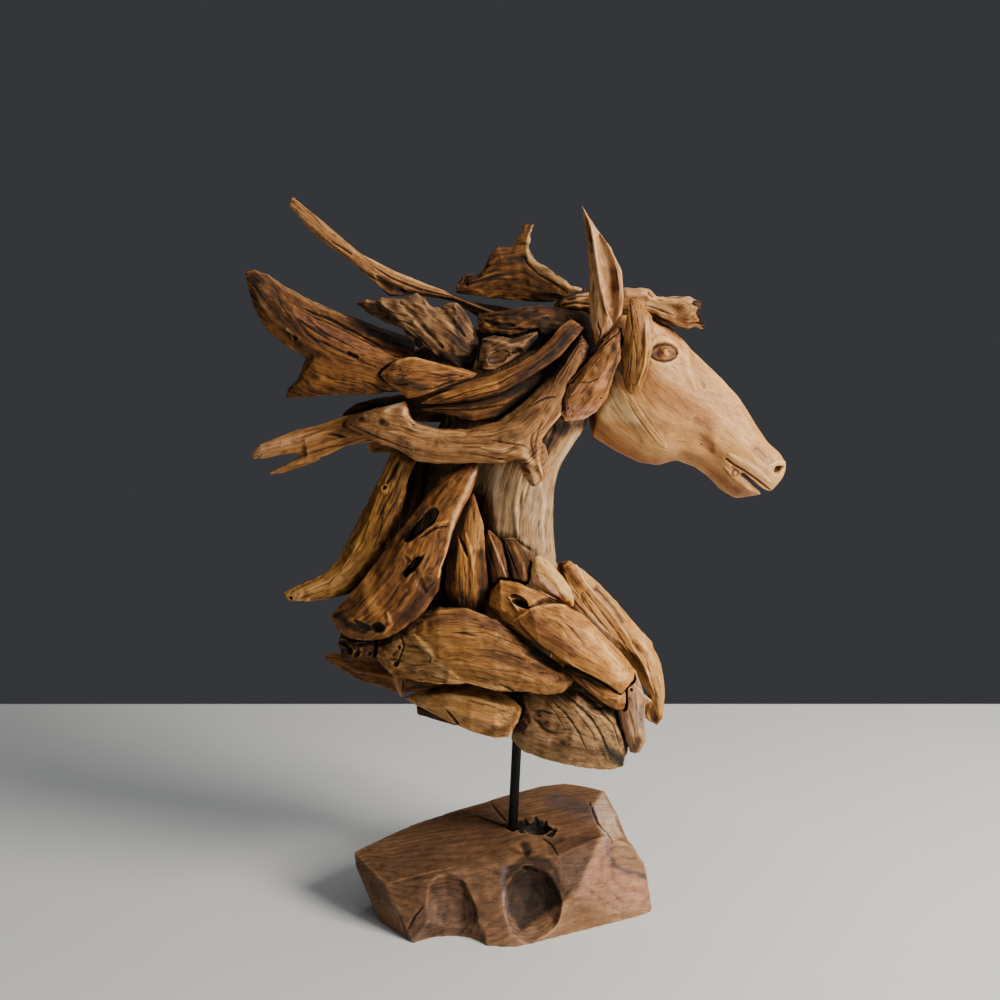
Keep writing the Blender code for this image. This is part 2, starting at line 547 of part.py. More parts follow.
def neck():
    """The neck trunk: a forked root whose hidden arms carry the mane and the nape."""
    trunk = limb([(8, 236, 0, 30, 30), (8, 300, 0, 38, 36), (4, 380, 0, 49, 39), (4, 450, 0, 47, 40),
                  (2, 500, 0, 45, 39), (3, 545, 0, 47, 40), (22, 592, 0, 49, 40), (52, 632, 0, 46, 38),
                  (86, 668, 0, 42, 34), (112, 694, 0, 28, 28)], sides=10, seed=42, hewn=0.04, spacing=40)
    crest_arm = limb([(70, 672, 4, 24, 24), (30, 688, 6, 34, 28), (-15, 690, 8, 38, 26),
                      (-65, 680, 8, 34, 24), (-118, 668, 8, 24, 20),
                      (-162, 660, 8, 9, 10)], sides=6, seed=35, spacing=50)
    nape_arm = limb([(8, 300, 4, 26, 26), (-46, 322, 4, 44, 32), (-84, 376, 4, 46, 32),
                     (-88, 440, 4, 44, 30), (-80, 500, 4, 41, 28), (-70, 564, 4, 38, 26),
                     (-48, 620, 4, 34, 24), (-14, 662, 4, 24, 22)],
                    sides=6, seed=49, spacing=55)
    return [Piece("neck_trunk", [trunk, crest_arm, nape_arm], "grey")]


def far_nape():
    """The far side's planks and blades, plainer."""
    return far_limbs({
        "far_plank": ("brown", [(-122, 556, 46, 12, 8), (-144, 512, 54, 30, 13), (-158, 462, 62, 36, 17),
                                (-164, 408, 66, 36, 19), (-184, 364, 64, 24, 18)]),
        "far_blade": ("orange", [(-52, 516, 38, 5, 6), (-57, 464, 45, 22, 12), (-60, 410, 50, 27, 15),
                                 (-60, 366, 50, 20, 13)]),
    })


# The chest ----------------------------------------------------------------------------------


def chest():
    """The hewn billets that make the chest and shoulders on the viewer's side."""
    upper = slab([(-31, 398, -58, -34, 376, -60, 12), (-18, 414, -60, -16, 358, -70, 18),
                  (6, 410, -60, 10, 340, -77, 21), (36, 396, -62, 40, 320, -80, 21),
                  (68, 381, -62, 66, 305, -80, 18)], seed=53)
    billet = slab([(0, 372, -82, 8, 352, -86, 7), (20, 384, -78, 30, 330, -92, 18),
                   (56, 384, -74, 62, 307, -94, 23), (84, 370, -70, 88, 293, -90, 23),
                   (108, 345, -66, 108, 282, -84, 21), (132, 320, -60, 122, 273, -76, 17),
                   (148, 299, -54, 131, 267, -68, 12),
                   (147, 286, -52, 138, 278, -58, 5)], seed=54)
    drip = slab([(127, 304, -48, 150, 300, -44, 8), (127, 284, -51, 158, 278, -48, 13),
                 (123, 258, -49, 162, 256, -46, 14), (128, 234, -46, 161, 232, -44, 12),
                 (136, 210, -44, 166, 211, -43, 10),
                 (142, 191, -42, 157, 190, -42, 6)],
                seed=57)
    spur = limb([(142, 267, -47, 12, 10), (157, 262, -46, 8, 8), (171, 257, -45, 2, 3)], seed=58)
    shoulder = slab([(66, 437, 8, 50, 431, 6, 10), (84, 425, 8, 55, 388, 2, 18),
                     (103, 409, 8, 68, 366, 0, 21), (124, 386, 8, 86, 347, -2, 22),
                     (146, 359, 7, 107, 331, -4, 22), (167, 336, 6, 134, 312, -4, 21),
                     (179, 308, 5, 150, 288, -4, 18), (184, 280, 4, 164, 268, -4, 14),
                     (185, 256, 3, 170, 250, -3, 10), (184, 238, 2, 172, 236, -2, 7),
                     (178, 225, 1, 173, 227, 0, 3)], seed=61)
    claw = slab([(176, 266, 0, 160, 262, -3, 8), (172, 252, 0, 157, 248, -3, 7),
                 (174, 238, 0, 155, 240, -2, 6), (176, 228, 0, 165, 232, -1, 3)], seed=62)
    return [
        Piece("gold_chip", [slab([(21, 440, -58, 29, 444, -57, 4), (18, 424, -60, 44, 434, -61, 8),
                                  (19, 410, -63, 60, 416, -66, 11), (34, 396, -65, 70, 400, -68, 10),
                                  (56, 384, -66, 73, 390, -68, 8),
                                  (66, 377, -64, 73, 379, -65, 4)], seed=55, hewn=0.16)], "orange"),
        Piece("near_shoulder", [upper, billet], "orange", [ball(3, 386, -88, (14, 5, 12), 25)]),
        Piece("under_shoulder", [slab([(60, 308, -64, 58, 295, -68, 7), (88, 299, -62, 84, 275, -70, 12),
                                       (112, 289, -58, 108, 255, -68, 14),
                                       (132, 285, -54, 124, 246, -66, 12),
                                       (139, 278, -50, 137, 246, -58, 6)], seed=56)], "orange"),
        Piece("shoulder_drip", [drip, spur], "pale"),
        Piece("flank", [slab([(-166, 340, -56, -171, 312, -56, 10), (-150, 356, -62, -153, 293, -66, 18),
                              (-122, 370, -66, -122, 283, -76, 22), (-92, 379, -70, -92, 279, -82, 25),
                              (-58, 379, -72, -58, 280, -87, 26), (-22, 366, -73, -22, 270, -89, 26),
                              (8, 343, -73, 8, 269, -87, 24), (38, 321, -72, 38, 265, -84, 20),
                              (60, 306, -70, 58, 267, -79, 14),
                              (73, 293, -68, 73, 279, -72, 6)], seed=59)], "orange"),
        Piece("belly", [slab([(-136, 265, -44, -133, 259, -44, 5), (-108, 275, -50, -108, 245, -56, 14),
                              (-80, 287, -52, -84, 232, -64, 20), (-50, 285, -54, -54, 218, -70, 23),
                              (-22, 275, -52, -24, 209, -70, 23), (-2, 262, -48, -6, 210, -64, 20),
                              (11, 250, -46, 1, 224, -54, 12)], seed=60)], "orange"),
        Piece("keel", [slab([(2, 268, -30, -6, 208, -34, 13), (22, 276, -34, 10, 192, -42, 22),
                             (48, 284, -38, 36, 183, -50, 28), (76, 290, -40, 66, 175, -54, 30),
                             (100, 280, -38, 97, 169, -52, 28), (124, 260, -34, 122, 168, -46, 21),
                             (139, 232, -32, 138, 172, -40, 11),
                             (146, 212, -32, 140, 182, -35, 4)], seed=63)], "grey"),
        Piece("front_shoulder", [shoulder, claw], "orange"),
        Piece("tail_chip", [limb([(-143, 300, -20, 9, 10), (-141, 279, -20, 9, 9),
                                  (-139, 263, -20, 3, 4)], seed=64)], "pale"),
        Piece("belly_slat", [slab([(-123, 253, -22, -121, 240, -24, 5),
                                   (-100, 262, -22, -98, 233, -28, 11),
                                   (-70, 264, -20, -76, 226, -30, 14),
                                   (-25, 262, -16, -30, 222, -26, 14)], seed=65)], "brown"),
        Piece("collar_left", [slab([(-36, 476, -38, -29, 475, -38, 3), (-37, 458, -42, -14, 459, -45, 7),
                                    (-34, 436, -47, -8, 437, -51, 9),
                                    (-29, 404, -52, -3, 406, -56, 8)], seed=66)], "brown"),
        Piece("collar_mid", [slab([(-19, 466, -40, -1, 466, -42, 5), (-17, 450, -44, 14, 448, -49, 8),
                                   (-13, 430, -48, 23, 434, -55, 10), (-8, 410, -52, 21, 412, -59, 10),
                                   (0, 397, -54, 16, 397, -57, 6)], seed=67)], "brown"),
    ]


def far_chest():
    """The billets on the far side, plainer."""
    return far_limbs({
        "rump": ("orange", [(-232, 316, 34, 6, 8), (-195, 303, 38, 15, 17), (-155, 296, 40, 24, 24),
                            (-105, 302, 40, 34, 28), (-58, 308, 38, 30, 26)]),
        "far_shoulder": ("orange", [(-26, 388, 62, 14, 10), (10, 366, 72, 30, 17), (55, 336, 78, 36, 20),
                                    (98, 298, 74, 28, 17), (126, 266, 66, 10, 10)]),
        "far_flank": ("orange", [(-160, 320, 66, 14, 12), (-110, 328, 78, 38, 20), (-50, 324, 84, 44, 23),
                                 (5, 306, 84, 36, 22), (60, 280, 76, 12, 12)]),
        "far_belly": ("brown", [(-112, 258, 42, 9, 9), (-75, 255, 52, 22, 20), (-30, 246, 54, 27, 23),
                                (6, 234, 46, 15, 15)]),
        "far_keel": ("brown", [(14, 232, 38, 17, 20), (50, 228, 42, 34, 28), (86, 224, 40, 32, 24),
                               (120, 210, 34, 12, 11)]),
        "far_collar": ("brown", [(-10, 466, 40, 8, 7), (4, 430, 48, 24, 11),
                                 (14, 392, 56, 24, 12)]),
        "far_chip": ("orange", [(44, 436, 46, 6, 6), (48, 412, 54, 16, 9),
                                (64, 384, 60, 17, 9)]),
        "far_tongue": ("orange", [(52, 300, 58, 10, 8), (90, 280, 62, 18, 13),
                                  (128, 262, 54, 13, 10)]),
        "far_drip": ("pale", [(140, 300, 38, 8, 7), (142, 268, 42, 14, 10), (148, 232, 42, 11, 9),
                              (152, 198, 40, 4, 5)]),
    })


# The stand ----------------------------------------------------------------------------------


def rod():
    """The round steel rod, leaning a little towards the head."""
    shape = bmesh.new()
    length = ROD_HIGH - ROD_LOW
    bmesh.ops.create_cone(shape, cap_ends=True, segments=16, depth=length, radius1=ROD_RADIUS,
                          radius2=ROD_RADIUS)
    lift = Matrix.Translation((0, 0, length / 2 + ROD_LOW - FOOT_HEIGHT))
    lean = Matrix.Rotation(math.radians(ROD_LEAN), 4, "Y")
    place = Matrix.Translation((ROD_FOOT_X, 0, FOOT_HEIGHT)) @ lean @ lift
    bmesh.ops.transform(shape, matrix=place, verts=shape.verts)
    return Piece("rod", [shape], "steel")


def scoop(centre, radii, lean=0.0, turn=0.0):
    """An ellipsoid that hollows the foot, leaned about X and turned about Z, in degrees."""
    shape = bmesh.new()
    bmesh.ops.create_icosphere(shape, subdivisions=2, radius=1.0)
    place = Matrix.Translation(centre) @ Matrix.Rotation(math.radians(turn), 4, "Z")
    place = place @ Matrix.Rotation(math.radians(lean), 4, "X") @ Matrix.Diagonal((*radii, 1.0))
    bmesh.ops.transform(shape, matrix=place, verts=shape.verts)
    return shape


def foot_block():
    """The hewn foot: the facets that join its corners, with hollows scooped from its front and top."""
    # Corners of the underside, anticlockwise from the left.
    floor = ((-174, -37), (-161, -65), (-129, -98), (-120, -107), (1, -115), (24, -106), (153, -49),
             (171, -37), (172, 50), (150, 116), (60, 126), (-10, 98), (-116, 28), (-168, -12))
    crest = (
        (-200, -23, 72), (-197, -31, 56), (-154, -75, 55), (-109, -76, 62), (-61, -66, 72),  # front left
        (-26, -52, 80), (52, -55, 84), (73, -83, 36), (114, -18, 90),                        # front right
        (165, -12, 46), (150, -6, 70), (136, 24, 73), (129, 80, 78), (127, 136, 80),         # right
        (97, 136, 87), (71, 139, 90), (37, 129, 90), (-5, 103, 90), (-73, 59, 89),           # back
        (-125, 27, 86), (-158, -2, 82), (0, 0, 93), (106, 66, 91), (108, 10, 91),            # top
    )
    shape = bmesh.new()
    corners = [shape.verts.new((x, y, 0)) for x, y in floor] + [shape.verts.new(at) for at in crest]
    hull = bmesh.ops.convex_hull(shape, input=corners)
    bmesh.ops.delete(shape, geom=[v for v in shape.verts if not v.link_faces], context="VERTS")
    inner = [e for e in hull["geom_interior"] if e.is_valid and isinstance(e, bmesh.types.BMVert)]
    bmesh.ops.delete(shape, geom=inner, context="VERTS")
    bmesh.ops.recalc_face_normals(shape, faces=shape.faces)
    hollows = [
        scoop((20, -97, 44), (40, 30, 50), lean=-34, turn=16),    # the great knot hollow
        scoop((-82, -132, 18), (56, 42, 92), turn=14),            # the wide dip left of it
        scoop((-78, -110, 34), (38, 29, 66), lean=-32, turn=18),  # the steep step beside it
        scoop((29, -2, 94), (17, 13, 30)),                        # the pit beside the rod
        scoop((168, 48, 88), (37, 62, 70)),                       # the hollow in the right end
    ]
    return Piece("foot_block", [shape], "foot", hollows)


# Putting it together ------------------------------------------------------------------------


def dress(body):
    """Gives a piece its own plain material, in the colour of its wood or of the steel."""
    wood = body["wood"]
    material = bpy.data.materials.new(f"{body.name}_{wood}")
    material.use_nodes = True
    shader = material.node_tree.nodes["Principled BSDF"]
    shader.inputs["Base Color"].default_value = (*CHECK_COLOUR[wood], 1.0)
    shader.inputs["Roughness"].default_value = ROD_GLOSS if wood == "steel" else WOOD_GLOSS
    body.data.materials.append(material)


def build():
    """Makes every piece, notches each round the pieces before it, and dresses them."""
    for old in list(bpy.data.objects):
        bpy.data.objects.remove(old)
    pieces = [rod(), *crown(), *branch(), head(), *mane_front(), *mane_middle(), *chest(), *nape(), *neck()]
    pieces += [*far_crown(), *mane_far(), *far_chest(), *far_nape(), foot_block()]
    for k, piece in enumerate(pieces):
        piece.fit(pieces[:k])
    for piece in pieces:
        piece.clean()
        piece.drop_helpers()
        dress(piece.body)


if __name__ == "__main__":
    build()
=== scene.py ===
"""The looks of a driftwood horse head: pieces of teak root on a steel rod in a hewn teak foot.

Each piece starts as a copy of its solid in the frame. It is rounded, weathered along its own
grain, and then carved with its own knots, cracks and stains; some marks and its hollows and ridges
also carry painted light and shade, and it is drawn darker deep among its neighbours, partly as
grime and old bark and partly as painted shade. Marks are laid out in millimetres
on a board that stands through the middle of the horse, X to the right and Z up, and are carried
on to the near side of a piece along the lines of sight from a point in front of it.
"""

import logging
import math
from dataclasses import dataclass, field, replace
from enum import Enum

import bmesh
import bpy
import numpy as np
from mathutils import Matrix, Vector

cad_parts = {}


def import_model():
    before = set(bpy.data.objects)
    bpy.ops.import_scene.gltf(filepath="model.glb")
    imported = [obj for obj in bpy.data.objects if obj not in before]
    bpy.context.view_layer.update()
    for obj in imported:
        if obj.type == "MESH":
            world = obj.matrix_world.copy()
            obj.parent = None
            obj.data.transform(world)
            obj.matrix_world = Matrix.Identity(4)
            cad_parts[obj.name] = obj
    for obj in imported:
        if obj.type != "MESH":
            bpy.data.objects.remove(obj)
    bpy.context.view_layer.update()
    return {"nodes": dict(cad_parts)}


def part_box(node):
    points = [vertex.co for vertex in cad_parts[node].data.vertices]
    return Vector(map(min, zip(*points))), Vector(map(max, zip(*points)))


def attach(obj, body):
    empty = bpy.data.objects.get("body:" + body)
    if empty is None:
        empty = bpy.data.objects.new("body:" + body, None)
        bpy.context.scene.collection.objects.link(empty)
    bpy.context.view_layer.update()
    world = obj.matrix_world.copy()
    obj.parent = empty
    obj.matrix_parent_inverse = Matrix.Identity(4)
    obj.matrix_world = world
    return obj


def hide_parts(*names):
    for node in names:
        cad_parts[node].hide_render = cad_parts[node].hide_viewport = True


LOG = logging.getLogger("driftwood_horse")
MM = 1000.0                              # millimetres in a metre: meshes are in metres, shaping is in mm
EYE = np.array((-18.0, -1250.0, 710.0))  # the point that the board is looked at from, mm
MIRROR = np.array((1.0, -1.0, 1.0))      # takes a point to the far side of the board
Point = tuple[float, float]
Place = tuple[float, float, float]
Colour = tuple[float, float, float, float]
Socket = bpy.types.NodeSocket


# ---------------------------------------------------------------- numbers that repeat each run


def scatter(cell: np.ndarray, seed: int) -> np.ndarray:
    """A scrambled whole number for each cell of a lattice.

    Args:
        cell: whole-number lattice points, one a row.
        seed: changes the whole pattern.

    Returns:
        One 32-bit number for each row.
    """
    c = cell.astype(np.uint32)
    h = c[:, 0] * np.uint32(0x8DA6B343) ^ c[:, 1] * np.uint32(0xD8163841) ^ c[:, 2] * np.uint32(0xCB1AB31F)
    h = h + np.uint32((seed * 0x9E3779B1) & 0xFFFFFFFF)
    h = (h ^ (h >> np.uint32(15))) * np.uint32(0x2C1B3C6D)
    h = (h ^ (h >> np.uint32(12))) * np.uint32(0x297A2D39)
    return h ^ (h >> np.uint32(15))


def noise(points: np.ndarray, seed: int) -> np.ndarray:
    """Smooth gradient noise, about -1 to 1, one bump to each unit of length.

    Args:
        points: where it is wanted, one point a row.
        seed: changes the whole pattern.

    Returns:
        One value for each point.
    """
    low = np.floor(points)
    part = (points - low).astype(np.float32)
    low = low.astype(np.int64)
    fade = part * part * part * (part * (part * 6 - 15) + 10)
    total = np.zeros(len(points), np.float32)
    for corner in range(8):
        step = np.array((corner & 1, corner >> 1 & 1, corner >> 2 & 1))
        h = scatter(low + step, seed)
        lean = np.stack([(h >> np.uint32(s)) & np.uint32(255) for s in (0, 8, 16)], 1).astype(np.float32)
        dot = ((lean / 127.5 - 1) * (part - step.astype(np.float32))).sum(1)
        total += dot * np.where(step == 1, fade, 1 - fade).prod(1)
    return total * 1.25


def ease_step(low: float, high: float, value: np.ndarray) -> np.ndarray:
    """0 below low, 1 above high and a smooth climb between them."""
    t = np.clip((value - low) / (high - low), 0, 1)
    return t * t * (3 - 2 * t)


# ---------------------------------------------------------------- marks


class Profile(Enum):
    """The cross-section of a mark, from its middle line to its edge."""

    ROUND = "round"
    VEE = "vee"
    FLAT = "flat"
    AREA = "area"


@dataclass(frozen=True)
class Mark:
    """One thing cut, raised, stained or given painted light and shade on the near side of a piece.

    Attributes:
        path: the middle line on the board, in mm. A single point makes a round mark, and
            for an area it is the outline, closed.
        width: how far it reaches to each side of that line, in mm.
        lift: how far the surface rises there, in mm. It is cut where this is below 0.
        tone: how much paler it is drawn there, from -1 to 1, as the wood's own colour and, in some marks, as
            painted light and shade.
        blush: how much redder it is there.
        silver: how much greyer it is there.
        profile: its cross-section.
        taper: 1 thins it to nothing at both ends, 0 keeps its width.
        wobble: how far its edge wanders, as a share of its width.
        knot: True where the grain flows round it and it has rings.
        far: True for a mark on the side that faces away, laid out on the same board.
    """

    path: tuple[Point, ...]
    width: float
    lift: float = 0.0
    tone: float = 0.0
    blush: float = 0.0
    silver: float = 0.0
    profile: Profile = Profile.ROUND
    taper: float = 0.0
    wobble: float = 0.0
    knot: bool = False
    far: bool = False

    def reach(self, board: np.ndarray, seed: int) -> np.ndarray:
        """How strongly each point of the board is inside the mark, 0 to 1.

        Args:
            board: points on the board, in mm.
            seed: for the wandering of its edge.

        Returns:
            One value for each point.
        """
        best = np.full(len(board), 1e9)
        share = np.zeros(len(board))
        steps = [math.dist(a, b) for a, b in zip(self.path, self.path[1:], strict=False)]
        whole, gone = max(sum(steps), 1e-6), 0.0
        for a, b, step in zip(self.path, self.path[1:] or self.path, steps or [0.0], strict=False):
            start, run = np.array(a), np.array(b) - np.array(a)
            t = np.clip(((board - start) @ run) / max(run @ run, 1e-9), 0, 1)
            away = np.linalg.norm(board - start - t[:, None] * run, axis=1)
            closer = away < best
            best = np.where(closer, away, best)
            share = np.where(closer, (gone + t * step) / whole, share)
            gone += step
        width = np.full(len(board), float(self.width))
        if self.taper and len(self.path) > 1:
            width *= 1 - self.taper * np.abs(2 * share - 1) ** 2.5
        if self.wobble:
            flat = np.column_stack([board / (self.width * 1.4 + 2), np.zeros(len(board))])
            width *= 1 + self.wobble * noise(flat, seed)
        q = best / np.maximum(width, 0.05)
        if self.profile is Profile.AREA:
            inside = np.zeros(len(board), bool)
            for a, b in zip(self.path, self.path[1:], strict=False):
                spans = (a[1] > board[:, 1]) != (b[1] > board[:, 1])
                slope = (b[0] - a[0]) / ((b[1] - a[1]) or 1.0)
                inside ^= spans & (board[:, 0] < a[0] + (board[:, 1] - a[1]) * slope)
            return 0.5 + np.where(inside, 0.5, -0.5) * np.minimum(q, 1)
        if self.profile is Profile.VEE:
            return np.clip(1 - q, 0, 1)
        if self.profile is Profile.FLAT:
            return 1 - ease_step(0.7, 1.0, q)
        return np.where(q < 1, (1 - np.minimum(q, 1) ** 2) ** 2, 0)


Marks = tuple[Mark, ...]


def crack(*path: Point, width: float = 1.4, depth: float = 1.0, tone: float = -0.3) -> Mark:
    """A split along the grain, thinning out at both ends."""
    return Mark(path, width, -depth, tone, profile=Profile.VEE, taper=0.9, wobble=0.35)


def groove(*path: Point, width: float = 2.2, depth: float = 1.8, tone: float = -0.3) -> Mark:
    """A line cut with a gouge, even along its length."""
    return Mark(path, width, -depth, tone, taper=0.35)


def rim(*path: Point, width: float = 4.0, height: float = 1.0, tone: float = 0.08,
        silver: float = 0.0) -> Mark:
    """A raised edge drawn paler: rubbed wood, and in some places a painted highlight."""
    return Mark(path, width, height, tone, silver=silver, taper=0.7, wobble=0.2)


def trough(*path: Point, width: float = 6.0, depth: float = 2.2, tone: float = -0.1,
           blush: float = 0.0) -> Mark:
    """A long hollow with soft sides."""
    return Mark(path, width, -depth, tone, blush, taper=0.6, wobble=0.25)


def patch(*path: Point, width: float = 8.0, tone: float = -0.1, blush: float = 0.0,
          silver: float = 0.0) -> Mark:
    """A change of colour with no change of shape: a stain, and in some places painted light and shade."""
    return Mark(path, width, 0.0, tone, blush, silver, wobble=0.5)


def plane(*corners: Point, soft: float = 2.0, tone: float = 0.0, blush: float = 0.0,
          silver: float = 0.0) -> Mark:
    """The colour of one facet, inside an outline of corners: the wood's colour, and on the foot also painted
    light and shade.
    """
    return Mark((*corners, corners[0]), soft, 0.0, tone, blush, silver, profile=Profile.AREA)


def pit(x: float, z: float, radius: float = 3.5, depth: float = 4.0, tone: float = -0.55) -> Mark:
    """A round hole, left by a nail, a worm or a dead twig."""
    return Mark(((x, z),), radius, -depth, tone, profile=Profile.FLAT, wobble=0.3)


def knot(x: float, z: float, radius: float = 6.0, proud: float = 0.7, tone: float = -0.2) -> Mark:
    """A round knot, with rings, that the grain flows round."""
    return Mark(((x, z),), radius, proud, tone, 0.25, knot=True, wobble=0.15)


def bow(start: Point, end: Point, rise: float) -> tuple[Point, ...]:
    """A bowed path for a mark, such as a lid, that rises to its middle and comes down again.

    Args:
        start: its first point.
        end: its last point.
        rise: how far its middle stands above the straight line, in mm.

    Returns:
        Points along it.
    """
    (x0, z0), (x1, z1) = start, end
    shares = [k / 8 for k in range(9)]
    return tuple((x0 + (x1 - x0) * t, z0 + (z1 - z0) * t + 4 * rise * t * (1 - t)) for t in shares)


def circle(x: float, z: float, radius: float) -> tuple[Point, ...]:
    """Points round a circle on the board, closed."""
    turns = [math.tau * i / 12 for i in range(13)]
    return tuple((x + radius * math.cos(t), z + radius * math.sin(t)) for t in turns)


# ---------------------------------------------------------------- finishes


def linear(colour: str) -> Colour:
    """Turns an sRGB colour into linear values.

    Args:
        colour: hexadecimal, such as "#C49A6C".

    Returns:
        Red, green, blue and alpha.
    """
    parts = [int(colour[i : i + 2], 16) / 255 for i in (1, 3, 5)]
    r, g, b = (p / 12.92 if p <= 0.04045 else ((p + 0.055) / 1.055) ** 2.4 for p in parts)
    return r, g, b, 1.0


class Nodes:
    """A node tree that is built up from nothing, with short ways to add what repeats."""

    def __init__(self, owner: bpy.types.Material | bpy.types.World) -> None:
        """Empties the tree.

        Args:
            owner: the material or the world that it belongs to.
        """
        owner.use_nodes = True
        self.tree = owner.node_tree
        self.tree.nodes.clear()

    def add(self, kind: str, inputs: dict, out: int | str = 0, **settings: object) -> Socket | None:
        """Adds one node.

        Args:
            kind: Blender's name for it, after "ShaderNode".
            inputs: for each input, by name or number, its value or the socket that feeds it.
            out: which output is wanted.
            settings: the node's own settings.

        Returns:
            That output, or None where the node has none.
        """
        node = self.tree.nodes.new(f"ShaderNode{kind}")
        for name, value in settings.items():
            setattr(node, name, value)
        for key, value in inputs.items():
            if isinstance(value, Socket):
                self.tree.links.new(value, node.inputs[key])
            else:
                node.inputs[key].default_value = value
        return node.outputs[out] if node.outputs else None

    def attribute(self, name: str, out: str = "Fac") -> Socket:
        """One of the piece's own attributes."""
        return self.add("Attribute", {}, out, attribute_name=name)

    def maths(self, operation: str, first: object, second: object = 0.0, third: object = 0.0) -> Socket:
        """The result of one sum."""
        return self.add("Math", {0: first, 1: second, 2: third}, operation=operation)

    def vector(self, operation: str, first: object, second: object) -> Socket:
        """The result of one sum of vectors."""
        return self.add("VectorMath", {0: first, 1: second}, operation=operation)

    def cloud(self, place: Socket, size: object, detail: float, out: str = "Fac", **more: object) -> Socket:
        """Noise.

        Args:
            place: where it is read.
            size: bumps to a unit of length, one number or one for each axis.
            detail: octaves.
            out: the output wanted.
            more: "Roughness", or "Location", which slides the noise along.

        Returns:
            The output.
        """
        scale = 1.0
        if isinstance(size, tuple):
            shift = {"Location": more.pop("Location")} if "Location" in more else {}
            place = self.add("Mapping", {"Vector": place, "Scale": size} | shift)
        else:
            scale = size
        return self.add("TexNoise", {"Vector": place, "Scale": scale, "Detail": detail} | more, out)

    def climb(self, value: Socket, low: float, high: float) -> Socket:
        """0 where the value is low, 1 where it is high and a smooth climb between them."""
        levels = {"Value": value, "From Min": low, "From Max": high}
        return self.add("MapRange", levels, interpolation_type="SMOOTHSTEP")

    def mix(self, share: Socket, first: object, second: object) -> Socket:
        """A mix of two colours."""
        return self.add("Mix", {0: share, 6: first, 7: second}, 2, data_type="RGBA")

    def surface(self, **inputs: object) -> None:
        """Ends the tree with a principled shader. Its inputs have _ for each space in their names."""
        shader = self.add("BsdfPrincipled", {name.replace("_", " "): value for name, value in inputs.items()})
        self.add("OutputMaterial", {"Surface": shader})


TONES = (0.0, 0.22, 0.42, 0.6, 0.8, 1.0)  # from the bottom of a crack to a rubbed ridge


